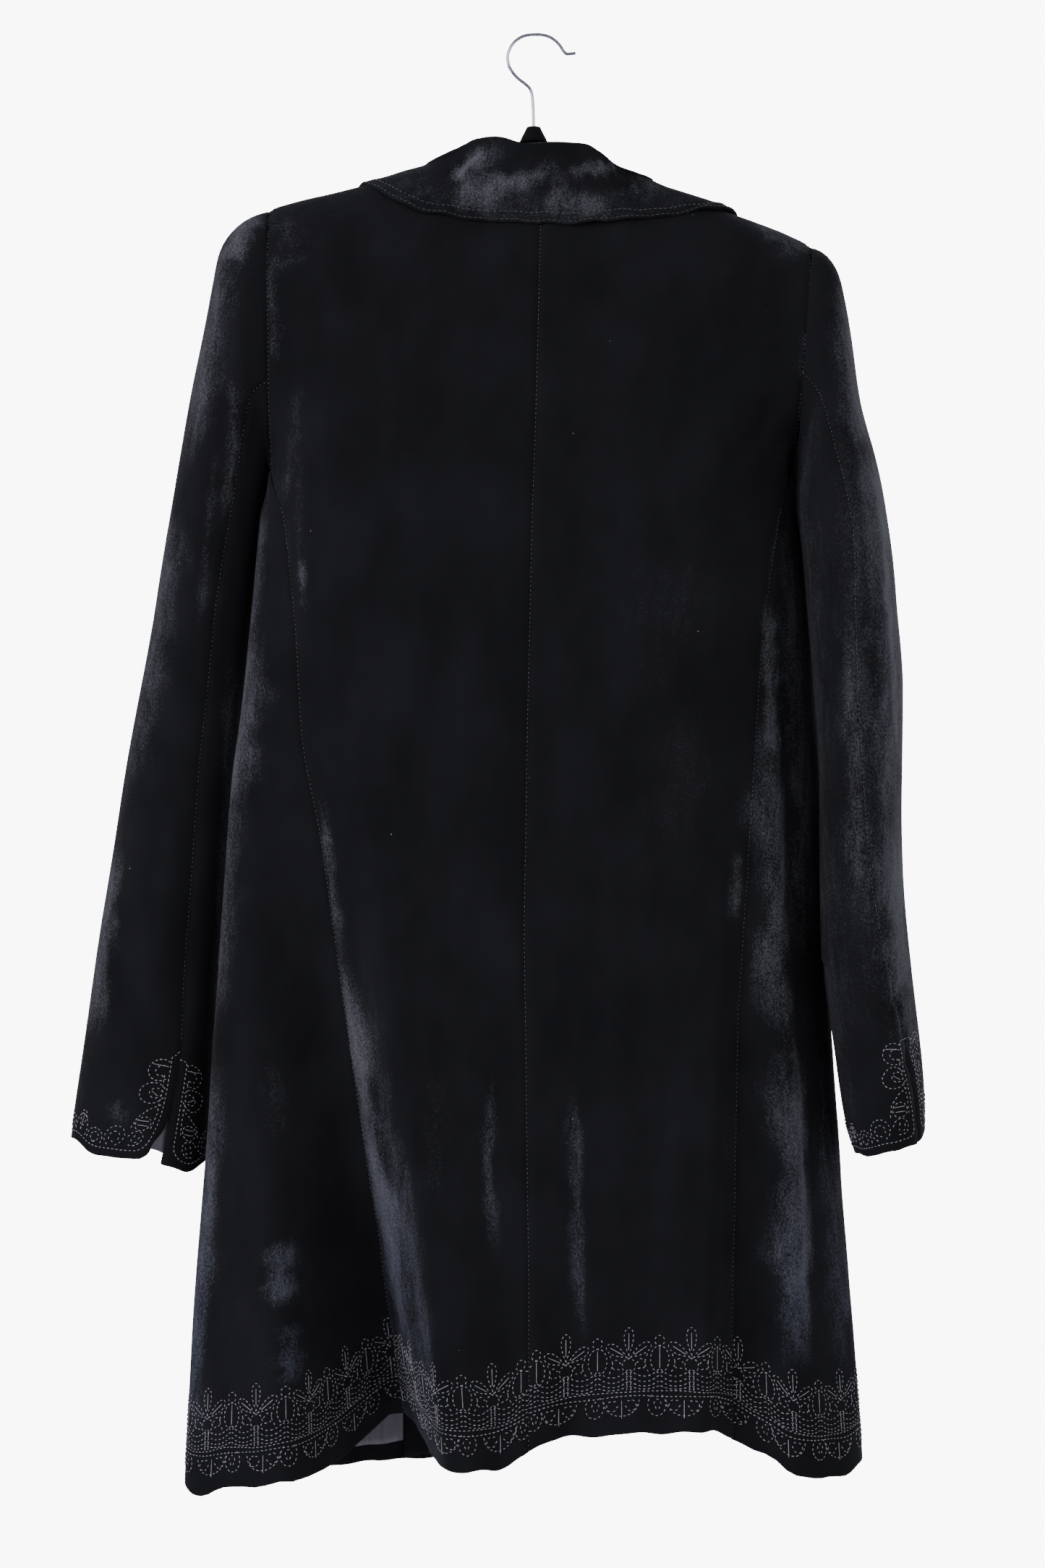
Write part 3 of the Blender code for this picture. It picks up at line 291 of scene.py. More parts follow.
def bodyGrid(side, face):
    # back or front panel: rows from the hem up, columns from the side seam to the centre
    isBack = face == "back"
    hem, top = (backHem, backTop) if isBack else (frontHem, frontTop)

    def edges(z):
        if isBack:
            return toArmhole(side, along(backSeams, side, z), z, panelEase), along(backSeams, "middle", z)
        middle, half = section(np.minimum(z, underarm))
        seam = middle + half * along(frontSeams, "share", z) * (-1 if side == "left" else 1)
        return toArmhole(side, seam, z, panelEase), np.full_like(z, frontEdge)

    share = spread(meshFor["panelWidth"], coat["pitch"])[None, :]
    low = np.full_like(share, np.mean(hem["z"]))
    start, end = edges(low)
    hemZ = along(hem, "z", start * (1 - share) + end * share, "x")
    z = hemZ + (underarm - hemZ) * spread(meshFor["panelHeight"], coat["pitch"], fineEnd=False)[:, None]
    drops = (np.linspace(1, 0, meshFor["yokeLines"])[1:] ** 1.6)[:, None]    # closer towards the top line
    upperZ = (underarm * drops + shoulderPoint * (1 - drops)) * np.ones_like(share)
    for turn in range(topTurns):
        start, end = edges(upperZ)
        topZ = along(top, "z", start * (1 - share) + end * share, "x")
        upperZ = topZ + (underarm - topZ) * drops
    z = np.concatenate([z, upperZ])
    start, end = edges(z)
    x = start * (1 - share) + end * share
    return np.stack([x, bodyDepth(x, z, face), z], -1)


def sideGrid(side):
    # side body: columns from the front seam round the side edge to the back seam
    sign = -1 if side == "left" else 1
    share = spread(meshFor["sideWidth"], coat["pitch"])[None, :]

    def turnAt(z):
        middle, half = section(z)
        fromFront = sign * (math.pi - np.arcsin(along(frontSeams, "share", z)))
        toBack = sign * np.arcsin(np.clip(sign * (along(backSeams, side, z) - middle) / half, 0, 1))
        return fromFront * (1 - share) + toBack * share

    low = np.full_like(share, np.mean(backHem["z"]))
    turn = turnAt(low)
    middle, half = section(low)
    hemX = middle + half * np.sin(turn)
    hemZ = np.where(np.cos(turn) > 0, along(backHem, "z", hemX, "x"), along(frontHem, "z", hemX, "x"))
    z = hemZ + (underarm - hemZ) * spread(meshFor["sideHeight"], coat["pitch"])[:, None]
    turn = turnAt(z)
    middle, half = section(z)
    x = middle + half * np.sin(turn)
    y = np.where(np.cos(turn) > 0, lowerDepth(x, z, "back"), lowerDepth(x, z, "front"))
    return np.stack([toArmhole(side, x, z, sideEase), y, z], -1)


# Sleeves: rings from the armhole to the cuff, with the two ends of each ring seen from behind,
# its back and front depth, and the angles of its two seams
sleeveColumns = "outerX outerZ innerX innerZ back front hind fore"
sleeveRows = {
    "left": table(sleeveColumns, [
        (-187.5, -122.5, -183.2, -303.0, -54, 22, 110, -120),
        (-205.0, -129.5, -184.0, -303.6, -56, 24, 110, -120),
        (-214.0, -139.5, -184.3, -304.6, -57, 26, 110, -122),
        (-220.5, -154.5, -184.6, -306.2, -58, 28, 110, -124),
        (-225.0, -174.5, -185.0, -308.5, -58, 30, 110, -126),
        (-233.0, -214.5, -185.4, -312.5, -58, 34, 110, -128),
        (-241.0, -254.5, -186.0, -318.0, -57, 38, 111, -130),
        (-248.5, -294.5, -187.4, -328.0, -55, 42, 112, -130),
        (-255.0, -334.5, -189.3, -346.0, -52, 44, 110, -130),
        (-264.5, -394.5, -193.7, -394.0, -50, 45, 106, -130),
        (-275.0, -454.5, -200.0, -450.0, -48, 44, 109, -130),
        (-286.0, -514.5, -206.9, -508.0, -46, 43, 112, -130),
        (-295.5, -574.5, -212.2, -567.0, -45, 41, 116, -130),
        (-305.5, -634.5, -216.8, -628.0, -43, 38, 118, -130),
        (-314.5, -694.5, -221.0, -690.0, -42, 34, 120, -130),
        (-321.0, -738.0, -225.0, -738.0, -41, 30, 115, -130),
        (-323.5, -760.0, -227.0, -765.0, -41, 27, 111, -130),
    ]),
    "right": table(sleeveColumns, [
        (190.0, -147.5, 174.0, -303.0, -54, 22, 106, -120),
        (199.9, -153.5, 175.2, -303.8, -56, 24, 104, -120),
        (205.4, -163.5, 175.6, -305.2, -58, 26, 102, -122),
        (208.7, -175.5, 175.9, -307.2, -61, 27, 100, -124),
        (212.1, -192.5, 176.1, -310.0, -65, 27, 98, -126),
        (215.9, -218.5, 176.1, -314.5, -70, 26, 95, -128),
        (220.4, -254.5, 176.2, -321.0, -77, 22, 90, -130),
        (229.9, -294.5, 176.8, -331.0, -83, 18, 86, -130),
        (236.7, -334.5, 179.4, -350.0, -88, 15, 85, -130),
        (243.6, -394.5, 183.6, -398.0, -92, 13, 93, -130),
        (248.1, -454.5, 188.3, -456.0, -94, 12, 99, -130),
        (247.6, -514.5, 191.8, -516.0, -94, 12, 95, -130),
        (248.4, -574.5, 192.2, -578.0, -92, 12, 85, -130),
        (253.1, -634.5, 193.6, -640.0, -89, 12, 69, -130),
        (259.1, -692.5, 201.9, -700.0, -86, 11, 55, -130),
        (263.1, -732.0, 208.8, -743.0, -84, 10, 47, -130),
        (263.7, -751.0, 215.9, -766.0, -83, 9, 43, -130),
    ]),
}
capBlend = 3.0      # rings over which the sleeve leaves the armhole
dipRings = 3.0      # and over which the cuff takes up its dips
cuffDip = table("angle left right", [
    (-180, 6, 2), (-90, 4, 3), (0, 0, 0), (30, 3, 4), (60, 10, 6), (85, 11, 6), (100, 10, 5),
    (118, 14, 5), (135, 19, 4), (155, 14, 4), (180, 6, 2),
])
vent = {"start": 14.7, "opening": 9.0, "round": 7.0, "roundWidth": 9.0}


def armholeOutline(side):
    topZ = shoulderPoint
    for turn in range(topTurns):
        topZ = along(backTop, "z", along(armholeRows, side, topZ), "x")
    z = topZ + (underarm - topZ) * np.linspace(0, 1, meshFor["armholeLines"]) ** 2
    x = along(armholeRows, side, z)
    back = np.stack([bodyDepth(x, z, "back"), z], -1)
    front = np.stack([bodyDepth(x, z, "front"), z], -1)
    return np.concatenate([back, front[::-1]])


outlines = {side: armholeOutline(side) for side in ("left", "right")}


def armholePoint(side, angle):
    outline = outlines[side]
    fromMiddle = (outline - armholeCentre) / armholeHalf
    angles = np.unwrap(np.arctan2(-fromMiddle[:, 0], fromMiddle[:, 1]))
    order = np.argsort(angles)
    angles, outline = angles[order], outline[order]
    turn = np.mod(angle - angles[0], 2 * math.pi) + angles[0]
    wrapped = np.append(angles, angles[0] + 2 * math.pi)
    y = np.interp(turn, wrapped, np.append(outline[:, 0], outline[0, 0]))
    z = np.interp(turn, wrapped, np.append(outline[:, 1], outline[0, 1]))
    return np.stack([along(armholeRows, side, z), y, z], -1)


def sleevePoint(side, angle, ring):
    # angle 0 is the outer edge, 90 degrees the back, 180 beside the body
    at = atRow(sleeveRows[side], ring)
    across, depth = np.cos(angle), np.sin(angle)
    x = (at["outerX"] + at["innerX"]) / 2 + (at["outerX"] - at["innerX"]) / 2 * across
    z = (at["outerZ"] + at["innerZ"]) / 2 + (at["outerZ"] - at["innerZ"]) / 2 * across
    y = (at["back"] + at["front"]) / 2 + (at["back"] - at["front"]) / 2 * depth
    turned = np.degrees(np.mod(angle + math.pi, 2 * math.pi) - math.pi)
    lastRing = len(sleeveRows[side]["outerX"]) - 1
    z = z - along(cuffDip, side, turned, "angle") * smoothStep((ring - (lastRing - dipRings)) / dipRings)
    early = np.clip(ring / capBlend, 0, 1)[..., None]
    share = early * (2 - early)
    return armholePoint(side, angle) * (1 - share) + np.stack([x, y, z], -1) * share


def sleeveGrid(side, part):
    # rows from the cuff up to the armhole, columns from one sleeve seam to the other
    rows = sleeveRows[side]
    numbers = np.arange(len(rows["outerX"]), dtype=float)
    last = numbers[-1]
    reach = addedUp(np.hypot(np.diff(rows["outerX"]), np.diff(rows["outerZ"])))
    ring = np.interp(spread(reach[-1], coat["pitch"]) * reach[-1], reach, numbers)[::-1, None]
    at = atRow(rows, ring)
    hind, fore = at["hind"], at["fore"]
    share = spread(meshFor[part + "Width"], coat["pitch"])[None, :]
    if part == "upper":
        if side == "left":
            hind = hind - vent["opening"] * smoothStep((ring - vent["start"]) / (last - vent["start"]))
        angle = np.radians(hind * (1 - share) + fore * share)
    else:
        angle = np.radians(hind * (1 - share) + (fore + 360) * share)
    ring = np.broadcast_to(ring, angle.shape)
    grid = sleevePoint(side, angle, ring)
    if part == "upper" and side == "left":
        fromVent = distances(grid)["start"]
        corner = np.clip(1 - fromVent / vent["roundWidth"], 0, 1) ** 2 * smoothStep(ring - (last - 1))
        grid[..., 2] += vent["round"] * corner
    return grid


# Collar: sections from the left front round the back to the right front
collarRows = table("neckX foldX foldY foldZ edgeX edgeZ", [
    (-8, -11, 34, -180, -60, -226), (-32, -37, 33, -153, -98, -205), (-54, -60, 31, -119, -124, -167),
    (-66, -75, 20, -91.5, -131, -130), (-70, -79, -3, -89, -123, -104.2), (-62, -68, -16, -84, -102, -116.5),
    (-52, -57.5, -21, -79.5, -83, -125), (-40, -42, -26, -73.5, -60, -130.2),
    (-28, -28, -28.5, -72, -35, -133.2), (-12, -9, -31, -78.5, -10, -135.2), (2, 8, -31, -77.5, 12, -135.2),
    (28, 29, -29, -77, 40, -134.1), (44, 43, -25, -83.5, 64, -132), (54, 54, -20, -91, 86, -129),
    (62, 67, -14, -95, 108, -125), (68, 80, -3, -98, 135, -123.8), (64, 76, 20, -98, 141, -150),
    (52, 61, 31, -125, 130, -180), (30, 36, 33, -156, 100, -212), (2, 4, 34, -182, 54, -236),
])
collar = {
    "leftRidge": 4, "rightRidge": 15,       # rows of the table on the shoulder ridges
    "wrapScale": 60.0,
    "lift": 3.1,            # of the fall over the coat
    "inset": 5.0,           # from the fall to the stand, at the fold
    "foot": 1.4, "frontFoot": 2.6, "bow": 1.6, "foldDrop": 2.5,
    "stand": (0, 0.3, 0.6, 0.9),
    "crown": ((0.72, 1.2), (0.36, 0.2), (0.06, 0.9)),   # shares of the inset, and drops below the fold
    "fall": (0.86, 0.72, 0.57, 0.42, 0.28, 0.14, 0),
}


def wrapOf(drop):
    size = np.abs(drop)
    return np.sign(drop) * (size + np.sqrt(size ** 2 + 4 * collar["wrapScale"] * size)) / 2


def wrapAt(column, heights):
    rows = np.arange(len(heights))
    sign = np.where((rows < collar["leftRidge"]) | (rows > collar["rightRidge"]), 1, -1)
    sign[[collar["leftRidge"], collar["rightRidge"]]] = 0
    return wrapOf(sign * np.maximum(along(shoulderLine, "z", collarRows[column], "x") - heights, 0))


def onCoat(x, wrap):
    # point of the coat and its outward direction at a way over the shoulder line, positive in front
    side, top = ("front", frontTop) if wrap > 0 else ("back", backTop)
    drop = wrap ** 2 / (abs(wrap) + collar["wrapScale"])
    seam = float(along(top, "z", x, "x"))
    z = min(float(along(shoulderLine, "z", x, "x")) - drop, seam)
    reach = 0.5
    at = np.array([[x, z], [x + reach, z - 0.6], [x - reach, z - 0.6], [x, z - 0.1], [x, z - 1.1]])
    depths = bodyDepth(at[:, 0], at[:, 1], side)
    sign = -1 if side == "back" else 1
    outward = unit(np.array([-(depths[1] - depths[2]), 1.0, -(depths[3] - depths[4])]) * sign)
    outward = unit(outward + np.array([0, 0, 1.5]) * math.exp((z - seam) / 3))
    return np.array([x, depths[0], z]), outward


def collarSection(number):
    numbers = np.arange(len(collarRows["neckX"]), dtype=float)
    at = atRow(collarRows, number)
    isFront = number < collar["leftRidge"] or number > collar["rightRidge"]
    neckX = collarRows["neckX"]
    fronts = (numbers < collar["leftRidge"]) | (numbers > collar["rightRidge"])
    neckZ = np.where(fronts, along(frontTop, "z", neckX, "x"), along(backTop, "z", neckX, "x"))
    edgeWrap = float(smoothCurve(numbers, wrapAt("edgeX", collarRows["edgeZ"]), number))
    neckWrap = float(smoothCurve(numbers, wrapAt("neckX", neckZ), number))
    top = frontTop if isFront else backTop
    neck = np.array([at["neckX"], *(float(along(top, key, at["neckX"], "x")) for key in "yz")])
    fold = np.array([at["foldX"], at["foldY"], at["foldZ"]])
    toMiddle = unit(np.array([-neck[0], -neck[1] * 2, 0.0]))
    innerFold = fold + toMiddle * collar["inset"] - np.array([0, 0, collar["foldDrop"]])
    foot = neck + (toMiddle + np.array([0, 0, 1.0])) * collar["frontFoot" if isFront else "foot"]
    up = np.array([0, 0, collar["bow"]])
    stand = [foot * (1 - t) + innerFold * t + up * math.sin(math.pi * t) for t in collar["stand"]]
    crown = [fold + toMiddle * collar["inset"] * inset - np.array([0, 0, down])
             for inset, down in collar["crown"]]
    fall = []
    for t in collar["fall"]:
        x = at["edgeX"] + (at["neckX"] - at["edgeX"]) * t
        point, outward = onCoat(x, edgeWrap * (1 - t) + neckWrap * t)
        lifted = point + outward * collar["lift"]
        fall.append(lifted + (crown[-1] - lifted) * t ** 1.6)
    return np.array((stand + crown + fall)[::-1])


def collarGrid():
    # rows along the collar's edge from left to right turned into columns; row 0 is the edge
    steps = np.linspace(0, len(collarRows["neckX"]) - 1, meshFor["collarSections"])
    grid = []
    for number in steps:
        middle = collarSection(number)
        reach = addedUp(np.linalg.norm(np.diff(middle, axis=0), axis=1))
        share = spread(meshFor["collarHeight"], meshFor["collarPitch"])
        grid.append(np.stack([smoothCurve(reach, middle[:, k], share * reach[-1]) for k in range(3)], -1))
    grid = np.array(grid)
    for k in range(3):      # the sections are eased along the collar
        for turn in range(2):
            grid[1:-1, :, k] = (grid[:-2, :, k] + 2 * grid[1:-1, :, k] + grid[2:, :, k]) / 4
    return grid.transpose(1, 0, 2)


def distances(grid):
    # way over the cloth to each edge
    step = np.linalg.norm(np.diff(grid, axis=1), axis=-1)
    across = np.concatenate([np.zeros((grid.shape[0], 1)), np.cumsum(step, axis=1)], axis=1)
    step = np.linalg.norm(np.diff(grid, axis=0), axis=-1)
    up = np.concatenate([np.zeros((1, grid.shape[1])), np.cumsum(step, axis=0)], axis=0)
    return {"start": across, "end": across[:, -1:] - across, "bottom": up, "top": up[-1:] - up}


def gridInward(grid, toward):
    across, up = np.gradient(grid, axis=1), np.gradient(grid, axis=0)
    normal = unit(np.cross(across, up))
    return normal * np.sign(np.sum(normal * (np.array(toward) - grid)))


def softStrokes(strokes, a, b, hard=False):
    # sum of soft marks along short paths: each has points, left and right width and an amount
    total = np.zeros_like(a)
    for number, (points, left, right, amount) in enumerate(strokes):
        points = np.array(points, float)
        steps = np.diff(points, axis=0)
        sizes = np.hypot(steps[:, 0], steps[:, 1])
        starts = addedUp(sizes)
        best, side, way = np.full(a.shape, np.inf), np.ones(a.shape), np.zeros(a.shape)
        for k, (dx, dz) in enumerate(steps):
            t = ((a - points[k, 0]) * dx + (b - points[k, 1]) * dz) / sizes[k] ** 2
            held = np.clip(t, 0, 1)
            away = np.hypot(a - points[k, 0] - dx * held, b - points[k, 1] - dz * held)
            nearer = away < best
            best = np.where(nearer, away, best)
            cross = (b - points[k, 1]) * dx - (a - points[k, 0]) * dz
            side = np.where(nearer, np.sign(cross), side)
            way = np.where(nearer, (starts[k] + held * sizes[k]) / starts[-1], way)
        # the mark's width sways along its path
        sway = 1 + 0.22 * np.sin(way * 15 + number * 2.3) + 0.12 * np.sin(way * 37 + number)
        width = np.where(side > 0, right, left) * sway
        taper = smoothStep(way / 0.25) * smoothStep((1 - way) / 0.25)
        if hard:
            taper = np.sqrt(taper)
        total = total + amount * taper * np.clip(1 - (best / width) ** 2, 0, 1) ** 2
    return total


def ripple(a, b, seed):
    # faint unevenness of hanging cloth
    random = np.random.default_rng(seed)
    total = np.zeros_like(a)
    shortest, longest, count = coat["rippleWaves"]
    for wave in np.geomspace(shortest, longest, count):
        turn, phase = random.uniform(-0.9, 0.9), random.uniform(0, 6.3)
        way = a * math.cos(turn) + b * math.sin(turn) * 0.45
        total += np.sin(way * 2 * math.pi / wave + phase) * wave / longest
    return total


# Creases and painted sheen bands by x and z, as seen from behind: a path, its left and right width, and
# millimetres of depth (trough positive), or how strongly grey sheen is painted into the colour
creases = {
    "back": [
        ([(-161, -290), (-160, -350), (-159, -410)], 9, 13, -2.4),
        ([(-140, -560), (-128, -652), (-110, -760), (-94, -850), (-72, -985)], 26, 9, -4.5),
        ([(132, -545), (138, -575), (131, -612)], 7, 9, -2.6),
        ([(-25, -700), (-28, -770), (-31, -850)], 12, 4, 2.0),
        ([(17, -715), (26, -790), (31, -900)], 17, 5, 2.6),
        ([(152, -410), (158, -520), (166, -640), (176, -800), (176, -930)], 22, 7, -3.8),
        ([(-178, -760), (-176, -840), (-170, -930)], 16, 16, -2.0),
        ([(-178, -262), (-150, -300), (-128, -330)], 9, 12, 1.6),
        ([(168, -250), (140, -292), (120, -318)], 12, 9, 1.5),
        ([(-60, -640), (-66, -760), (-60, -880)], 20, 24, 1.6),
        ([(70, -620), (78, -760), (74, -900)], 22, 20, 1.8),
        ([(-168, -135), (-150, -170), (-146, -215)], 16, 16, 1.4),
        ([(152, -150), (140, -185), (139, -230)], 16, 14, 1.3),
    ],
    "front": [
        ([(-120, -420), (-128, -600), (-140, -800), (-146, -960)], 24, 12, -3.5),
        ([(-60, -520), (-64, -700), (-58, -930)], 20, 18, 2.4),
        ([(60, -480), (66, -680), (74, -930)], 18, 22, 2.6),
        ([(120, -400), (128, -600), (140, -900)], 12, 26, -3.2),
        ([(-160, -250), (-130, -300), (-110, -335)], 10, 12, 1.8),
        ([(150, -250), (122, -300), (104, -330)], 12, 10, 1.8),
        ([(-30, -640), (-28, -760), (-30, -900)], 12, 10, 1.4),
    ],
    "sleeveBack": [
        ([(-206, -150), (-212, -230), (-216, -310)], 12, 9, 2.0),
        ([(-252, -330), (-240, -372), (-218, -402)], 10, 12, 2.4),
        ([(-262, -392), (-246, -430), (-224, -452)], 12, 12, 2.0),
        ([(-268, -470), (-262, -560), (-268, -640)], 14, 12, 1.8),
        ([(-296, -600), (-292, -660), (-300, -720)], 10, 8, -1.8),
        ([(-236, -520), (-240, -620), (-246, -700)], 12, 10, 1.6),
        ([(196, -200), (199, -262), (200, -330)], 8, 11, 2.2),
        ([(214, -270), (224, -330), (222, -400)], 9, 11, 2.0),
        ([(238, -380), (222, -410), (202, -428)], 10, 11, 2.2),
        ([(243, -450), (224, -482), (206, -500)], 10, 11, 1.8),
        ([(224, -520), (222, -600), (230, -680)], 12, 10, 1.8),
        ([(252, -640), (240, -662), (226, -670)], 7, 8, 1.7),
        ([(258, -690), (246, -708), (232, -714)], 7, 8, 1.5),
    ],
    "sleeveFront": [
        ([(-212, -160), (-216, -250), (-214, -330)], 12, 10, 2.2),
        ([(-256, -350), (-236, -392), (-214, -410)], 11, 12, 2.6),
        ([(-266, -430), (-244, -468), (-222, -480)], 12, 12, 2.0),
        ([(-262, -520), (-268, -620), (-280, -700)], 12, 14, 1.8),
        ([(200, -190), (202, -270), (206, -340)], 10, 11, 2.2),
        ([(240, -370), (222, -404), (202, -420)], 11, 12, 2.5),
        ([(244, -450), (226, -482), (204, -496)], 11, 12, 2.0),
        ([(228, -540), (230, -620), (238, -700)], 12, 12, 1.8),
    ],
    "collar": [
        ([(-20, -77), (-46, -92), (-52, -102), (-30, -108), (2, -103), (20, -88)], 6, 6, -2.2),
        ([(-38, -82), (-56, -94), (-64, -104)], 5, 5, 2.0),
        ([(-6, -86), (-20, -95), (-30, -98)], 7, 7, 2.0),
        ([(22, -103), (36, -94), (46, -92)], 5, 4, -1.9),
        ([(36, -104), (50, -94), (54, -93)], 4, 4, -1.7),
        ([(26, -112), (50, -110), (72, -107)], 5, 5, 1.3),
        ([(-70, -104), (-80, -110), (-92, -112)], 5, 5, 1.2),
    ],
}
# Painted sheen: bands and patches where grey sheen is painted into the velvet's colour along folds, seams and
# edges
sheenBandStrokes = {
    "back": [
        ([(-189, -330), (-193, -375), (-196, -420)], 6, 9, 0.24),
        ([(-198, -410), (-204, -470), (-210, -530)], 7, 28, 0.38),
        ([(-208, -500), (-213, -595), (-218, -680)], 6, 18, 0.22),
        ([(-161, -288), (-161, -350), (-159, -392)], 4, 5, 0.2),
        ([(-160, -364), (-159, -404)], 5, 7, 0.2),
        ([(-220, -700), (-226, -800), (-233, -880), (-238, -960)], 9, 14, 0.34),
        ([(-181, -700), (-179, -760)], 14, 16, 0.16),
        ([(-175, -822), (-175, -872)], 16, 14, 0.42),
        ([(-170, -878), (-167, -924)], 13, 12, 0.36),
        ([(-147, -520), (-144, -556), (-139, -592), (-134, -630)], 6, 7, 0.34),
        ([(-135, -614), (-131, -640), (-125, -670), (-117, -716), (-109, -768), (-103, -800), (-97, -840),
          (-92, -872), (-85, -915)], 9, 9, 0.46),
        ([(-124, -650), (-106, -735), (-92, -800), (-80, -880), (-72, -940)], 13, 16, 0.17),
        ([(-31, -703), (-32, -735), (-35, -770), (-33, -795), (-29, -835)], 8, 7, 0.3),
        ([(22, -715), (26, -760), (27, -830), (31, -900)], 12, 6, 0.28),
        ([(156, -390), (156, -440), (157, -500)], 9, 9, 0.4),
        ([(157, -455), (160, -535), (163, -570), (163, -610), (161, -640), (165, -664), (171, -712)],
         26, 7, 0.38),
        ([(171, -690), (176, -760), (178, -840), (178, -920)], 32, 10, 0.43),
        ([(172, -330), (178, -430), (184, -540), (186, -640)], 22, 20, 0.3),
        ([(196, -700), (202, -800), (208, -930)], 16, 10, 0.2),
        ([(134, -560), (131, -612)], 8, 7, 0.26),
        ([(-176, -126), (-172, -150), (-168, -170)], 16, 22, 0.2),
        ([(-184, -150), (-182, -190), (-180, -240)], 8, 12, 0.24),
        ([(-164, -240), (-168, -300), (-172, -330)], 8, 9, 0.16),
        ([(150, -128), (168, -140), (178, -160)], 14, 16, 0.2),
        ([(182, -205), (180, -250)], 9, 8, 0.22),
        ([(-68, -700), (-70, -800)], 14, 12, 0.14),
        ([(90, -330), (96, -480), (100, -600)], 60, 50, 0.08),
    ],
    "front": [
        ([(-196, -330), (-204, -540), (-215, -760)], 12, 12, 0.5),
        ([(-128, -520), (-134, -690), (-146, -940)], 26, 12, 0.34),
        ([(-60, -660), (-66, -780), (-58, -910)], 22, 12, 0.26),
        ([(64, -600), (74, -740), (72, -900)], 14, 24, 0.28),
        ([(126, -500), (138, -700), (142, -920)], 12, 28, 0.34),
        ([(186, -400), (196, -700)], 12, 12, 0.4),
        ([(-170, -150), (-166, -230)], 12, 12, 0.35),
        ([(160, -170), (158, -250)], 12, 12, 0.35),
    ],
    "sleeveBack": [
        ([(-192, -124), (-203, -140), (-209, -162)], 12, 14, 0.42),
        ([(206, -165), (216, -260), (226, -380), (230, -520), (234, -640), (246, -735)], 40, 34, 0.2),
        ([(-205, -135), (-216, -170), (-226, -220), (-238, -300)], 16, 26, 0.24),
        ([(-204, -240), (-208, -290), (-214, -340)], 10, 8, 0.3),
        ([(-219, -285), (-226, -350), (-232, -420)], 5, 6, 0.24),
        ([(-246, -320), (-258, -390), (-268, -450), (-276, -520)], 20, 24, 0.19),
        ([(-290, -560), (-298, -620), (-304, -690)], 16, 16, 0.33),
        ([(-296, -735), (-280, -750)], 12, 12, 0.26),
        ([(-212, -420), (-214, -520), (-218, -600), (-222, -680)], 6, 12, 0.26),
        ([(204, -170), (212, -240), (222, -290)], 14, 14, 0.24),
        ([(228, -270), (237, -340), (243, -420), (247, -500), (248, -600)], 26, 20, 0.22),
        ([(227, -290), (233, -354), (239, -450), (243, -505)], 3, 3, 0.3),
        ([(206, -400), (210, -500), (212, -600)], 10, 14, 0.2),
        ([(238, -540), (242, -620), (250, -700)], 14, 12, 0.26),
    ],
    "sleeveFront": [
        ([(-228, -170), (-238, -300)], 14, 12, 0.35),
        ([(-256, -400), (-272, -560)], 13, 13, 0.4),
        ([(212, -200), (226, -330)], 12, 12, 0.35),
        ([(236, -420), (238, -600)], 12, 12, 0.4),
    ],
    "collar": [
        ([(-20, -78), (-40, -89), (-55, -99), (-42, -106), (-20, -106), (0, -101), (19, -87)], 13, 13, 0.4),
        ([(-38, -82), (-50, -92), (-60, -100)], 9, 9, 0.2),
        ([(20, -101), (34, -94), (45, -91)], 10, 8, 0.34),
        ([(36, -101), (52, -92)], 9, 8, 0.28),
        ([(-62, -112), (-44, -118), (-28, -120)], 12, 12, 0.26),
        ([(4, -112), (24, -118), (50, -124)], 16, 16, 0.24),
        ([(-116, -104), (-80, -112), (-40, -124), (20, -126), (70, -120), (120, -122)], 26, 26, 0.19),
        ([(60, -102), (84, -110)], 12, 12, 0.16),
    ],
}


def linear(hexColour):
    # sRGB hex to linear
    values = [int(hexColour[k:k + 2], 16) / 255 for k in (1, 3, 5)]
    return tuple(v / 12.92 if v <= 0.04045 else ((v + 0.055) / 1.055) ** 2.4 for v in values) + (1.0,)


def addNode(tree, kind, settings=None, links=None):
    # settings are sockets by name or number, or the node's own properties
    node = tree.nodes.new(kind)
    for name, value in (settings or {}).items():
        if isinstance(name, int) or name in node.inputs:
            node.inputs[name].default_value = value
        else:
            setattr(node, name, value)
    for name, source in (links or {}).items():
        tree.links.new(source, node.inputs[name])
    return node


def newMaterial(name, settings):
    material = bpy.data.materials.new(name)
    material.use_nodes = True
    tree = material.node_tree
    shader = tree.nodes["Principled BSDF"]
    for socket, value in settings.items():
        shader.inputs[socket].default_value = value
    return material, tree, shader


def noiseAt(tree, size, detail=3.0, stretch=(1, 1, 1), roughness=0.55):
    # noise in the object's own metres; size is that of its marks, in millimetres
    place = addNode(tree, "ShaderNodeTexCoord")
    scale = tuple(1 / s for s in stretch)
    mapped = addNode(tree, "ShaderNodeMapping", {"Scale": scale}, {"Vector": place.outputs["Object"]})
    settings = {"Scale": 1000 / size, "Detail": detail, "Roughness": roughness}
    noise = addNode(tree, "ShaderNodeTexNoise", settings, {"Vector": mapped.outputs["Vector"]})
    return noise.outputs["Fac"]


def scaled(tree, source, low, high, toLow=0.0, toHigh=1.0, smooth=False):
    node = addNode(tree, "ShaderNodeMapRange",
                   {"From Min": low, "From Max": high, "To Min": toLow, "To Max": toHigh},
                   {"Value": source})
    node.interpolation_type = "SMOOTHSTEP" if smooth else "LINEAR"
    return node.outputs["Result"]


def combined(tree, operation, first, second):
    node = addNode(tree, "ShaderNodeMath", {"operation": operation})
    tree.links.new(first, node.inputs[0])
    tree.links.new(second, node.inputs[1])
    return node.outputs["Value"]


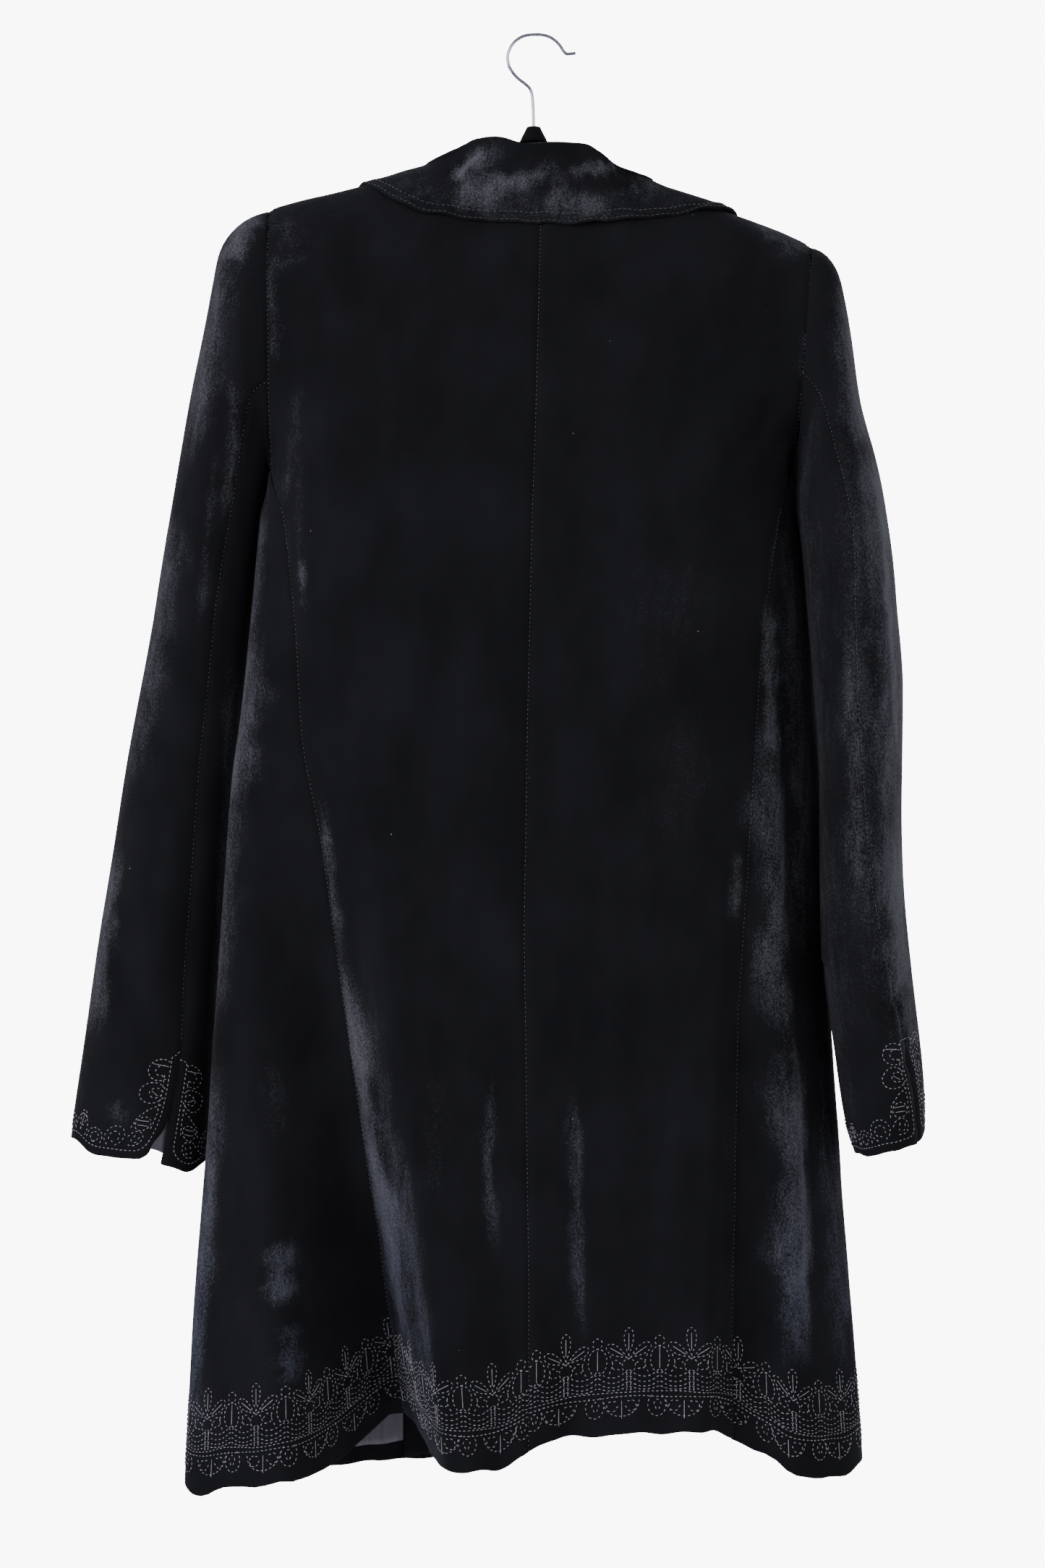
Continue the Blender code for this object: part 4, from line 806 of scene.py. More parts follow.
def mixed(tree, share, low, high):
    # a colour between two, each a hex value or a socket
    node = addNode(tree, "ShaderNodeMix", {"data_type": "RGBA"}, {0: share})
    for number, colour in ((6, low), (7, high)):
        if isinstance(colour, str):
            node.inputs[number].default_value = linear(colour)
        else:
            tree.links.new(colour, node.inputs[number])
    return node.outputs[2]


def addBump(tree, shader, height, strength, distance):
    bump = addNode(tree, "ShaderNodeBump", {"Strength": strength, "Distance": distance}, {"Height": height})
    tree.links.new(bump.outputs["Normal"], shader.inputs["Normal"])


velvetLook = {
    "black": "#1d1d21", "deep": "#16161a",
    "sheen": "#65656e",         # painted sheen: grey put into the colour where the pile is seen from the side
    "coolSheen": "#5c6175",     # bluer painted sheen nearer the hem
    "coolFrom": -0.72, "coolTo": -0.94,
    "lint": "#8f8f98",
    "lintSpacing": 24.0, "lintShare": 0.3,
    "grainSize": 1.1,           # tufts of pile, drawn coarser than the real 0.3 mm so that they show
    "streakSize": 6.0,
    "crushSize": 40.0,
    "grain": 0.24, "streak": 0.1, "crush": 0.08,    # how far each tears the painted sheen's edge
    "edge": 0.27,               # how much painted sheen the colour takes where the cloth turns away from the eye
}


def makeVelvet():
    # Black pile velvet: near black where it faces the eye, with a soft grey sheen painted into the colour where
    # the cloth turns from the eye and along painted sheen bands; the painted sheen breaks up into single tufts
    # at its edges and at crushed places
    look = velvetLook
    material, tree, shader = newMaterial("pile velvet", {
        "Roughness": 0.9, "Specular IOR Level": 0.1, "Sheen Weight": 0.3, "Sheen Roughness": 0.45,
        "Sheen Tint": linear("#5f5f68")})
    grain = noiseAt(tree, look["grainSize"], 2.0, (1, 1, 1.4), 0.75)
    streak = noiseAt(tree, look["streakSize"], 3.0, (1, 1, 3.5), 0.6)
    crush = noiseAt(tree, look["crushSize"], 2.0, (1, 1, 1.8))
    addBump(tree, shader, grain, 0.35, 0.0005)
    # painted sheen: the colour turns grey where the cloth turns away from the eye
    facing = addNode(tree, "ShaderNodeLayerWeight", {"Blend": 0.5})
    # and the painted sheen bands laid on the cloth
    sheenPaint = addNode(tree, "ShaderNodeAttribute", {"attribute_name": "sheenPaint"})
    turned = scaled(tree, facing.outputs["Facing"], 0.2, 0.95, 0, look["edge"])
    level = combined(tree, "ADD", turned, sheenPaint.outputs["Fac"])
    torn = scaled(tree, grain, 0.3, 0.7, -look["grain"], look["grain"])
    for noise, name in ((streak, "streak"), (crush, "crush")):
        torn = combined(tree, "ADD", torn, scaled(tree, noise, 0.3, 0.7, -look[name], look[name]))
    torn = combined(tree, "MULTIPLY", torn, scaled(tree, level, 0.0, 0.3, 0.4, 1))
    paintedSheenMask = scaled(tree, combined(tree, "ADD", level, torn), 0.08, 0.92, smooth=True)
    place = addNode(tree, "ShaderNodeTexCoord").outputs["Object"]
    height = addNode(tree, "ShaderNodeSeparateXYZ", {}, {"Vector": place}).outputs["Z"]
    # the painted sheen turns bluer towards the hem
    cool = scaled(tree, height, look["coolTo"], look["coolFrom"], 1, 0)
    coloured = mixed(tree, paintedSheenMask, mixed(tree, scaled(tree, crush, 0.35, 0.65), look["deep"], look["black"]),
                     mixed(tree, cool, look["sheen"], look["coolSheen"]))
    # a few specks of lint on the pile
    cells = addNode(tree, "ShaderNodeTexVoronoi", {"Scale": 1000 / look["lintSpacing"]}, {"Vector": place})
    near = scaled(tree, cells.outputs["Distance"], 0.012, 0.022, 1, 0)
    parts = addNode(tree, "ShaderNodeSeparateColor", {}, {"Color": cells.outputs["Color"]})
    rare = scaled(tree, parts.outputs[0], look["lintShare"], look["lintShare"] + 0.05)
    speckled = mixed(tree, combined(tree, "MULTIPLY", near, rare), coloured, look["lint"])
    tree.links.new(speckled, shader.inputs["Base Color"])
    return material


def makeMottled(name, dark, pale, noise, settings, bump=None, rough=None, reach=(0.3, 0.7)):
    # a finish between two colours by one noise, which may also raise and roughen it
    material, tree, shader = newMaterial(name, settings)
    marks = noiseAt(tree, *noise)
    tree.links.new(mixed(tree, scaled(tree, marks, *reach), dark, pale), shader.inputs["Base Color"])
    if bump:
        addBump(tree, shader, marks, *bump)
    if rough:
        tree.links.new(scaled(tree, marks, *reach, *rough), shader.inputs["Roughness"])
    return material


velvet = makeVelvet()
# Grey-lilac satin lining: smooth, soft gloss along its fine vertical floats
satin = makeMottled("satin lining", "#595562", "#6f6a78", (3.0, 3.0, (1, 1, 12)), {
    "Roughness": 0.38, "Specular IOR Level": 0.45, "Anisotropic": 0.4, "Sheen Weight": 0.15}, (0.25, 0.0003))
# Twisted thread: matt with a faint silky glint, each stitch a little different
twist, silk = (4.0, 2.0), {"Roughness": 0.55, "Sheen Weight": 0.3}
thread = makeMottled("embroidery thread", "#77757e", "#adabb4", twist, silk)
seamThread = makeMottled("sewing thread", "#37363c", "#74727a", twist, silk)
topThread = makeMottled("topstitching thread", "#2a292f", "#504f57", twist, silk)
# Nylon flock on a moulded hanger: short fibres, dull black with a soft edge of light
flock = makeMottled("nylon flock", "#060607", "#1b1b1e", (0.9, 2.0), {
    "Roughness": 0.95, "Specular IOR Level": 0.1, "Sheen Weight": 0.6, "Sheen Roughness": 0.5,
    "Sheen Tint": linear("#5c5c64")}, (0.6, 0.0004), reach=(0.0, 1.0))
# Zinc-plated steel wire: bright with a cool lilac cast and fine drawing marks
steel = makeMottled("zinc-plated wire", "#8f90a6", "#c9cada", (1.2, 3.0, (1, 1, 3)), {
    "Metallic": 1.0, "Anisotropic": 0.3}, rough=(0.2, 0.36))
print("materials made")


def addObject(name, data):
    thing = bpy.data.objects.new(name, data)
    bpy.context.scene.collection.objects.link(thing)
    return thing


def makePiece(name, points, faces, materials, indices):
    mesh = bpy.data.meshes.new(name)
    mesh.from_pydata(points.tolist(), [], faces.tolist())
    for material in materials:
        mesh.materials.append(material)
    mesh.polygons.foreach_set("material_index", indices.astype("i"))
    mesh.update()
    mesh.shade_smooth()
    return addObject(name, mesh)


cloths = {}
waves = {
    "pucker": {"length": 1.9, "driftLength": 7.7, "drift": 1.3, "shortLength": 3.1, "fade": 5.0},
    "hem": {"length": 9.3, "driftLength": 31.0, "drift": 1.7, "shortLength": 4.1, "fade": 7.0},
    "shortShare": 0.6, "inOut": 6.7,
}
shell = {
    "turned": 0.25,         # how far a surface turns from side view until all its marks show
    "seamEase": 22.0,       # way from the armhole over which creases die out
    "easeRest": 0.25,       # and what is left of them there
    "besideTurn": 0.55, "besideTop": -300.0, "besideFade": 15.0, "besideEnd": -640.0,
    "lowTop": -282.0, "lowFade": 14.0, "lowHeight": 45.0,   # where sleeve and body press together
    "fillStart": 5.0, "fillEnd": 30.0,
    "rounding": 0.96,       # of half the wall, at free edges
}


def unevenWave(way, wave, phase, shortPhase):
    # crests at uneven intervals, with shorter ones between them
    main = np.sin(way / wave["length"] + wave["drift"] * np.sin(way / wave["driftLength"] + phase))
    return main + waves["shortShare"] * np.sin(way / wave["shortLength"] + shortPhase)


def markedSurface(grid, ways, inward, marks, sewn, seed, pressed):
    # depth below the smooth form, from creases, ripples and seams, and how much painted sheen the colour takes
    x, z = grid[..., 0], grid[..., 2]
    depth, sheenPaint = coat["ripple"] * ripple(x, z, seed), np.zeros_like(x)
    for mark, turned in zip(marks, (inward[..., 1], -inward[..., 1])):
        if mark:
            share = smoothStep(turned / shell["turned"])
            depth = depth + softStrokes(creases[mark], x, z) * share
            sheenPaint = sheenPaint + softStrokes(sheenBandStrokes[mark], x, z, True) * share
    for edge in sewn:
        beside = ways["bottom" if edge in ("start", "end") else "start"]
        wave = unevenWave(beside, waves["pucker"], 0, 2)
        depth = depth + coat["pucker"] * wave * np.exp(-ways[edge] / waves["pucker"]["fade"])
    top = ways["top"]
    if "top" in sewn:
        rest = shell["easeRest"]
        depth = depth * (rest + (1 - rest) * smoothStep(top / shell["seamEase"]))
    low = np.zeros_like(x)
    if pressed:
        # where sleeve and body hang beside each other; no sunk seam low in the armhole
        beside = (1 - smoothStep(np.abs(inward[..., 1]) / shell["besideTurn"])) * (z > shell["besideEnd"])
        beside = beside * smoothStep((shell["besideTop"] - z) / shell["besideFade"])
        depth = depth * (1 - beside) - coat["besideSwell"] * beside
        low = smoothStep((shell["lowTop"] - z) / shell["lowFade"]) * (z > underarm - shell["lowHeight"])
    sunk = np.zeros_like(x)
    for edge in sewn:
        dip = coat["seamDip"] * (1 - smoothStep(ways[edge] / coat["seamWidth"]))
        sunk = np.maximum(sunk, dip * (1 - low) if edge == "top" else dip)
    fill = smoothStep(top / shell["fillStart"]) * (1 - smoothStep(top / shell["fillEnd"]))
    return depth + sunk - coat["underarmFill"] * low * fill, np.clip(sheenPaint, 0, 0.9)


def shellFaces(rows, columns):
    # outer face, inner face and rim of a closed shell, as numbers of its points
    count = rows * columns
    number = np.arange(count).reshape(rows, columns)
    quads = np.stack([number[:-1, :-1], number[:-1, 1:], number[1:, 1:], number[1:, :-1]], -1).reshape(-1, 4)
    border = np.concatenate([number[0], number[1:, -1], number[-1, -2::-1], number[-2:0:-1, 0]])
    after = np.roll(border, -1)
    rim = np.stack([after, border, border + count, after + count], -1)
    return np.concatenate([quads, quads[:, ::-1] + count, rim]), len(quads)


def clothShell(name, node, grid, toward, sewn, free, marks, seed, held, restsOn, wall=None,
               lined=None, materials=None):
    # A panel as a closed thin shell on its smooth form, creased, with sunk seams and rounded edges
    wall = wall or coat["wall"]
    ways = distances(grid)
    flat = (float(ways["start"][:, -1].max()) * mm, float(ways["bottom"][-1].max()) * mm)
    cells = np.linalg.norm(np.cross(grid[1:, :-1] - grid[:-1, :-1], grid[:-1, 1:] - grid[:-1, :-1]), axis=-1)
    area = float(cells.sum()) * mm * mm
    inward = gridInward(grid, toward)
    pressed = "side" in name or "under" in name
    depth, sheenPaint = markedSurface(grid, ways, inward, marks, sewn, seed, pressed)
    rounded = np.zeros_like(depth)
    half = wall / 2
    for edge in free:
        inset = np.clip(half - ways[edge], 0, half)
        rounded = np.maximum(rounded, half - np.sqrt(np.maximum(half ** 2 - inset ** 2, 0)))
    if "bottom" in free:
        way = ways["start"]
        fade = np.exp(-ways["bottom"] / waves["hem"]["fade"])
        grid = grid.copy()
        grid[..., 2] += unevenWave(way, waves["hem"], seed, seed) * fade * coat["hemWave"]
        sway = np.sin(way / waves["inOut"] + 2 * seed) * fade * (1 - fade)
        depth = depth + waves["shortShare"] * coat["hemWave"] * sway
    rounded = rounded * shell["rounding"]
    outer = grid + inward * (depth + rounded)[..., None]
    inner = grid + inward * (depth + wall - rounded)[..., None]
    rows, columns = depth.shape
    faces, count = shellFaces(rows, columns)
    points = np.concatenate([outer.reshape(-1, 3), inner.reshape(-1, 3)]) * mm
    across = grid[rows // 2, 1] - grid[rows // 2, 0]
    up = grid[rows // 2 + 1, 0] - grid[rows // 2, 0]
    if np.dot(np.cross(across, up), inward[rows // 2, 0]) > 0:
        faces = faces[:, ::-1]
    indices = np.zeros(len(faces))
    if lined is not None:
        indices[count:2 * count] = lined(ways)[:-1, :-1].reshape(-1)
    piece = makePiece(name, points, faces, materials or [velvet, satin], indices)
    # the painted sheen bands, carried to the velvet's colour
    layer = piece.data.attributes.new("sheenPaint", "FLOAT", "POINT")
    layer.data.foreach_set("value", np.tile(sheenPaint.reshape(-1), 2).astype("f"))
    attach(piece, "root")
    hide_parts(node)
    cloths[name] = {"piece": piece, "outer": outer, "inward": inward, "flat": flat, "held": held,
                    "area": min(area, flat[0] * flat[1]), "restsOn": restsOn, "with": []}
    print(name, "triangles", 2 * len(faces), "cut", [round(v * 1000) for v in flat])


def hemLining(ways):
    return ways["bottom"] > coat["hemTurning"]


def frontLining(ways):
    return (ways["bottom"] > coat["hemTurning"]) & (ways["end"] > coat["facing"])


for side in ("left", "right"):
    clothShell("velvet_back_" + side, "back_" + side, bodyGrid(side, "back"), bodyMiddle,
               ("start", "end", "top"), ("bottom",), ("back", None), 3, "hung", ["hanger_arms"],
               lined=hemLining)
    clothShell("velvet_front_" + side, "front_" + side, bodyGrid(side, "front"), bodyMiddle,
               ("start", "top"), ("bottom", "end"), ("front", "front"), 5, "hung", ["hanger_arms"],
               lined=frontLining)
    clothShell("velvet_side_" + side, "side_" + side, sideGrid(side), bodyMiddle,
               ("start", "end", "top"), ("bottom",), ("back", "front"), 3, "hung",
               ["velvet_back_" + side, "velvet_front_" + side], lined=hemLining)
    for part in ("upper", "under"):
        clothShell("velvet_" + part + "_sleeve_" + side, part + "_sleeve_" + side,
                   sleeveGrid(side, part), sleeveMiddle[side],
                   ("start", "end", "top"), ("bottom",), ("sleeveBack", "sleeveFront"), 11, "hung",
                   ["velvet_back_" + side], lined=hemLining)
clothShell("velvet_collar", "collar", collarGrid(), (0, 0, -160), (), ("bottom", "start", "end"),
           ("collar", None), 17, "folded", ["velvet_back_left", "velvet_back_right"], coat["collarWall"],
           materials=[velvet])
print("cloth made")


# Embroidery. A chart has dashed lines and solid bars, as paths of (way along the edge, height above it).
def pathArc(x, y, wide, high, start, end):
    t = np.radians(np.linspace(start, end, max(6, int(abs(end - start) * (wide + high) / 100))))
    return np.stack([x + wide * np.cos(t), y + high * np.sin(t)], -1)


def mirroredArcs(x, aside, y, wide, high, start, end):
    return [pathArc(x - aside, y, wide, high, start, end),
            pathArc(x + aside, y, wide, high, 180 - start, 180 - end)]


def pathLine(*points):
    return np.array(points, float)


def pathPetal(x, y, turn, size, wide):
    # drop-shaped loop from its root, turned clockwise from straight up, and the bar inside it
    t = np.linspace(0.02, 0.98, 30)
    reach = size * (1 - np.cos(2 * math.pi * t)) / 2
    aside = wide * 0.62 * np.sin(2 * math.pi * t) * np.sqrt(reach / size)
    c, s = math.cos(math.radians(turn)), math.sin(math.radians(turn))
    inner = np.array([0.22, 0.76]) * size
    return (np.stack([x + aside * c + reach * s, y + reach * c - aside * s], -1),
            np.stack([x + inner * s, y + inner * c], -1))


def hemChart(width, firstSprig):
    # sprigs of three petals and ringed ovals by turns, garlands between them, a double line, and
    # anchors and round loops hanging from it
    half = embroidery["half"]
    dashed, solid = [], []
    first, last = math.floor(-firstSprig / half) - 1, math.ceil((width - firstSprig) / half) + 1
    for number in range(first, last + 1):
        x = firstSprig + number * half
        if number % 2 == 0:
            for turn, root in ((0, 0), (-58, -1.6), (58, 1.6)):
                outline, bar = pathPetal(x + root, 53 - abs(root), turn, 18 if turn == 0 else 16, 6.8)
                dashed.append(outline)
                solid.append(bar)
            dashed += [pathArc(x, 45.6, 4.6, 4.8, 90, 450), pathLine((x - 1.4, 40), (x - 1.4, 30)),
                       pathLine((x + 1.4, 40), (x + 1.4, 30)), *mirroredArcs(x, 8.6, 46.5, 2.8, 3.4, 20, 300)]
            low = x + embroidery["lowShift"]
            dashed += [pathArc(low, 22.6, 12.2, 10.6, 184, 356),
                       *mirroredArcs(low, 6.6, 19, 3.6, 3.6, 60, 350)]
            solid.append(pathLine((low, 11.2), (low, 21.5)))
        else:
            dashed += [pathArc(x, 62, 3.3, 3.5, -90, 270), pathArc(x, 49.6, 6.4, 9.0, 90, 450),
                       *mirroredArcs(x, 0, 47.5, 10.2, 9.8, 150, 215)]
            solid.append(pathLine((x, 44.5), (x, 56.5)))
            low = x + embroidery["lowShift"] * 0.4
            dashed += [pathArc(low, 19.4, 6.2, 7.4, 130, 410), pathArc(low + 0.5, 20, 2.4, 3.0, -60, 240)]
        t = np.linspace(0.06, 0.94, 16)
        for top, sag in ((43.6, 5.4), (39.4, 4.8), (35.6, 4.0), (32.2, 2.6)):
            dashed.append(np.stack([x + half * t, top - sag * 4 * t * (1 - t)], -1))
    t = np.arange(-2, width + 2, 2.0)
    for height in (28.3, 25.1):
        dashed.append(np.stack([t, height + 0.35 * np.sin(t / 9 + height)], -1))
    return dashed, solid


def cuffChart(width):
    # line round the vent, scallops, loops and scrolls beside it, and arches along the cuff
    side = embroidery["ventLine"]
    t = np.radians(np.linspace(0, 90, 8))
    corner = np.stack([side + 8 * (1 - np.cos(t)), 14.5 - 8 * np.sin(t)], -1)
    dashed = [np.concatenate([[(0.4, 73.2), (side, 72.6)], corner, [(width + 2, 6.2)]]),
              pathArc(side + 6.5, 64.5, 8.4, 7.4, -118, 128), pathArc(side + 5.5, 64, 4.4, 3.6, -100, 100),
              pathArc(side + 9.5, 48.5, 8.8, 7.2, -150, 150), pathArc(side + 7, 48.5, 4.4, 3.4, -150, 160),
              pathLine((side + 2.5, 40), (side + 9, 37), (side + 15.5, 31), (side + 17.5, 24)),
              pathArc(side + 10, 26.5, 5.4, 5.0, 0, 360), pathArc(side + 11.5, 15.5, 5.6, 5.4, 20, 290),
              pathArc(side + 11, 15, 2.6, 2.6, 60, -200), pathArc(side + 27, 16, 7.4, 7.2, -60, 240),
              pathArc(side + 27, 15.5, 4.0, 3.8, 200, -90),
              pathLine((side + 3.4, 60), (side + 2.9, 50), (side + 3.3, 42), (side + 2.8, 34), (side + 3.4, 24))]
    solid = [pathLine((side + 2.2, 67), (side + 11.5, 68.6)), pathLine((side + 7, 25), (side + 13, 25.6)),
             pathLine((side + 7, 28.4), (side + 13, 28.8)), pathLine((side + 6, 47), (side + 9.5, 49.5))]
    for number, x in enumerate(np.arange(side + 42, width - 5, 14.5)):
        dashed.append(pathArc(x, 11.5, 6.4, 9.5 if number % 2 else 7.0, -12, 192))
        if number % 2:
            outline, bar = pathPetal(x, 10.5, 0, 13, 6)
            dashed.append(outline)
            solid.append(bar)
        else:
            dashed.append(pathArc(x, 12.5, 3.2, 3.4, -80, 250))
    return dashed, solid


def bandWays(ways):
    # ways across a panel, along its row nearest to the middle of the border
    band = int(np.argmin(np.abs(ways["bottom"].mean(axis=1) - embroidery["middle"])))
    return ways["start"][band]


def placePaths(cloth, paths, fromEnd=False, lift=0.25, even=0.0):
    # Lays paths on the cloth, with their heights taken from the edge or from its evened-out line
    outer, inward = cloth["outer"], cloth["inward"]
    ways = distances(outer)
    rows, columns = outer.shape[:2]
    acrossBand = bandWays(ways)
    edgeZ = outer[0, :, 2]
    evened = np.polyval(np.polyfit(acrossBand, edgeZ, 3), acrossBand)
    raised = np.clip((evened - edgeZ) * even, *embroidery["evenLimits"])
    margin = embroidery["seamMargin"]
    placed = []
    for path in paths:
        reach = addedUp(np.hypot(*np.diff(path, axis=0).T))
        at = np.linspace(0, reach[-1], max(3, int(reach[-1] / embroidery["step"])))
        s, h = np.interp(at, reach, path[:, 0]), np.interp(at, reach, path[:, 1])
        s = acrossBand[-1] - s if fromEnd else s
        isInside = (s > margin) & (s < acrossBand[-1] - margin) & (h > 1)
        column = np.interp(s, acrossBand, np.arange(columns))
        c0 = np.clip(column.astype(int), 0, columns - 2)
        cf = column - c0
        h = h + np.interp(s, acrossBand, raised)
        row = np.empty_like(h)
        for k in range(len(h)):
            up = ways["bottom"][:, c0[k]] * (1 - cf[k]) + ways["bottom"][:, c0[k] + 1] * cf[k]
            row[k] = np.interp(h[k], up, np.arange(rows))
        r0 = np.clip(row.astype(int), 0, rows - 2)
        rf = row - r0
        corners = [(r0, c0, (1 - rf) * (1 - cf)), (r0, c0 + 1, (1 - rf) * cf),
                   (r0 + 1, c0, rf * (1 - cf)), (r0 + 1, c0 + 1, rf * cf)]
        point = sum(outer[r, c] * w[:, None] for r, c, w in corners)
        normal = -unit(sum(inward[r, c] * w[:, None] for r, c, w in corners))
        runs = np.split(np.arange(len(s)), np.where(np.diff(isInside.astype(int)) != 0)[0] + 1)
        placed += [(point[run] + normal[run] * lift, normal[run]) for run in runs
                   if isInside[run[0]] and len(run) > 2]
    return placed


def stitchTree():
    # Stitches along the edges of a mesh: one small bead of thread for each, laid along its path
    tree = bpy.data.node_groups.new("stitches along paths", "GeometryNodeTree")
    for name, kind in (("Geometry", "Geometry"), ("Pitch", "Float"), ("Dash", "Float"), ("Thread", "Float"),
                       ("Seed", "Int"), ("Material", "Material")):
        tree.interface.new_socket(name, in_out="INPUT", socket_type="NodeSocket" + kind)
    tree.interface.new_socket("Geometry", in_out="OUTPUT", socket_type="NodeSocketGeometry")
    given = tree.nodes.new("NodeGroupInput").outputs

    def step(kind, settings=None, **links):
        # adds one node and gives its first output
        named = {name.replace("_", " "): link for name, link in links.items()}
        return addNode(tree, kind, settings, named).outputs[0]

    def between(low, high):
        settings = {"data_type": "FLOAT_VECTOR", 0: low, 1: high}
        return step("FunctionNodeRandomValue", settings, Seed=given["Seed"])

    paths = step("GeometryNodeMeshToCurve", Mesh=given["Geometry"])
    even = step("GeometryNodeResampleCurve", {"mode": "LENGTH"}, Curve=paths, Length=given["Pitch"])
    upright = step("GeometryNodeInputNamedAttribute", {"data_type": "FLOAT_VECTOR", "Name": "upright"})
    lengthwise = step("FunctionNodeAlignRotationToVector", {"axis": "X"},
                      Vector=step("GeometryNodeInputTangent"))
    level = step("FunctionNodeAlignRotationToVector", {"axis": "Z", "pivot_axis": "X"}, Rotation=lengthwise,
                 Vector=upright)
    uneven = between((0.78, 0.85, 0.85), (1.1, 1.12, 1.1))
    askew = step("FunctionNodeEulerToRotation", Euler=between((0, 0, -0.12), (0, 0, 0.12)))
    rotated = step("FunctionNodeRotateRotation", {"rotation_space": "LOCAL"}, Rotation=level, Rotate_By=askew)
    bead = step("GeometryNodeMeshUVSphere", {"Segments": 5, "Rings": 4, "Radius": 0.5})
    lying = step("GeometryNodeTransform", {"Rotation": (0, math.pi / 2, 0)}, Geometry=bead)
    size = step("ShaderNodeCombineXYZ", X=given["Dash"], Y=given["Thread"], Z=given["Thread"])
    shaped = step("GeometryNodeTransform", Geometry=lying, Scale=size)
    beads = step("GeometryNodeInstanceOnPoints", Points=even, Instance=shaped, Rotation=rotated, Scale=uneven)
    smooth = step("GeometryNodeSetShadeSmooth", Geometry=step("GeometryNodeRealizeInstances", Geometry=beads))
    dressed = step("GeometryNodeSetMaterial", Geometry=smooth, Material=given["Material"])
    addNode(tree, "NodeGroupOutput", {}, {"Geometry": dressed})
    return tree


stitches = stitchTree()


def makeStitches(name, placed, pitch, dash, size, material, seed):
    points = np.concatenate([p for p, n in placed]) * mm
    normals = np.concatenate([n for p, n in placed])
    edges, start = [], 0
    for path, normal in placed:
        edges += [(start + k, start + k + 1) for k in range(len(path) - 1)]
        start += len(path)
    mesh = bpy.data.meshes.new(name)
    mesh.from_pydata(points.tolist(), edges, [])
    layer = mesh.attributes.new("upright", "FLOAT_VECTOR", "POINT")
    layer.data.foreach_set("vector", normals.astype("f").reshape(-1))
    piece = addObject(name, mesh)
    rows = piece.modifiers.new("stitches", "NODES")
    rows.node_group = stitches
    sockets = {item.name: item.identifier for item in stitches.interface.items_tree if item.in_out == "INPUT"}
    for key, value in (("Pitch", pitch * mm), ("Dash", dash * mm), ("Thread", size * mm), ("Seed", seed),
                       ("Material", material)):
        rows[sockets[key]] = value
    shown = piece.evaluated_get(bpy.context.evaluated_depsgraph_get())
    made = bpy.data.meshes.new_from_object(shown)
    piece.modifiers.clear()
    piece.data = made
    made.name = name
    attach(piece, "root")
    print(name, "triangles", sum(len(p.vertices) - 2 for p in made.polygons))
    return piece


def embroider(name, onto, chart, fromEnd=False, seed=1, even=0.0):
    cloth = cloths[onto]
    look = embroidery
    for paths, label, pitch in ((chart[0], "_dashes", look["pitch"]), (chart[1], "_bars", look["barPitch"])):
        placed = placePaths(cloth, paths, fromEnd, look["lift"], even)
        size = look["thread"] * (look["barShare"] if label == "_bars" else 1)
        piece = makeStitches(name + label, placed, pitch, look["dash"], size, thread, seed)
        cloth["with"].append(piece)


def seamLine(name, column, first, last):
    outer, inward = cloths[name]["outer"], cloths[name]["inward"]
    normals = -inward[first:last, column]
    return outer[first:last, column] + normals * seamStitch["lift"], normals


seamStitch = {"pitch": 3.1, "dash": 1.6, "thread": 0.42, "lift": 0.25}
topStitch = {"pitch": 3.6, "dash": 2.6, "thread": 0.75, "fromEdge": (8.2, 2.2)}
for side in ("left", "right"):
    # the border runs from the centre back round both sides to the centre front
    backName, sideName, frontName = ("velvet_" + part + "_" + side for part in ("back", "side", "front"))
    widths = {}
    for name in (backName, sideName, frontName):
        widths[name] = bandWays(distances(cloths[name]["outer"]))[-1]
    sprig = embroidery["firstSprig"]
    embroider("hem_border_back_" + side, backName, hemChart(widths[backName], sprig), True, 1, 0.8)
    embroider("hem_border_side_" + side, sideName,
              hemChart(widths[sideName], sprig - widths[backName]), True, 2, 0.5)
    embroider("hem_border_front_" + side, frontName,
              hemChart(widths[frontName], sprig - widths[backName] - widths[sideName]), False, 3, 0.5)
    for part in ("upper", "under"):
        name = "velvet_" + part + "_sleeve_" + side
        width = distances(cloths[name]["outer"])["start"][8, -1]
        embroider("cuff_border_" + part + "_" + side, name, cuffChart(width), False, 4)
    # plain machine stitching down in the seams
    seams = [seamLine(backName, 0, 3, -2), seamLine("velvet_upper_sleeve_" + side, 0, 20, -3)]
    if side == "left":
        seams.append(seamLine(backName, -1, 3, -2))
    piece = makeStitches("seam_stitches_" + side, seams, seamStitch["pitch"], seamStitch["dash"],
                         seamStitch["thread"], seamThread, 6)
    cloths[backName]["with"].append(piece)

for number, fromEdge in enumerate(topStitch["fromEdge"]):
    row = placePaths(cloths["velvet_collar"], [pathLine((0, fromEdge), (2000, fromEdge))], False, 0.15)
    cloths["velvet_collar"]["with"].append(
        makeStitches("collar_topstitch_" + "ab"[number], row, topStitch["pitch"], topStitch["dash"],
                     topStitch["thread"] * (1 - 0.3 * number), topThread, 8 + number))
print("stitches made")


# Lining, facing and the strip in the left vent, behind the cloth
inside = {
    "gap": 1.7, "wall": 0.9,
    "lining": {"left": -205.0, "right": -94.0, "top": -868.0, "lift": 13.0},
    "facing": {"left": -93.7, "right": -6.0, "top": -868.0, "lift": 2.5},
    "cuff": {"top": 14.6, "bottom": 15.75, "start": 84.0, "end": 132.0},
}


def insideGrid(box):
    lines = meshFor["liningLines"]
    x = np.linspace(box["left"], box["right"], lines)[None, :]
    bottom = along(frontHem, "z", x, "x") + box["lift"]
    z = bottom + (box["top"] - bottom) * np.linspace(0, 1, lines)[:, None]
    x = x * np.ones_like(z)
    grid = np.stack([x, bodyDepth(x, z, "front"), z], -1)
    return grid + gridInward(grid, bodyMiddle) * (coat["wall"] + inside["gap"])


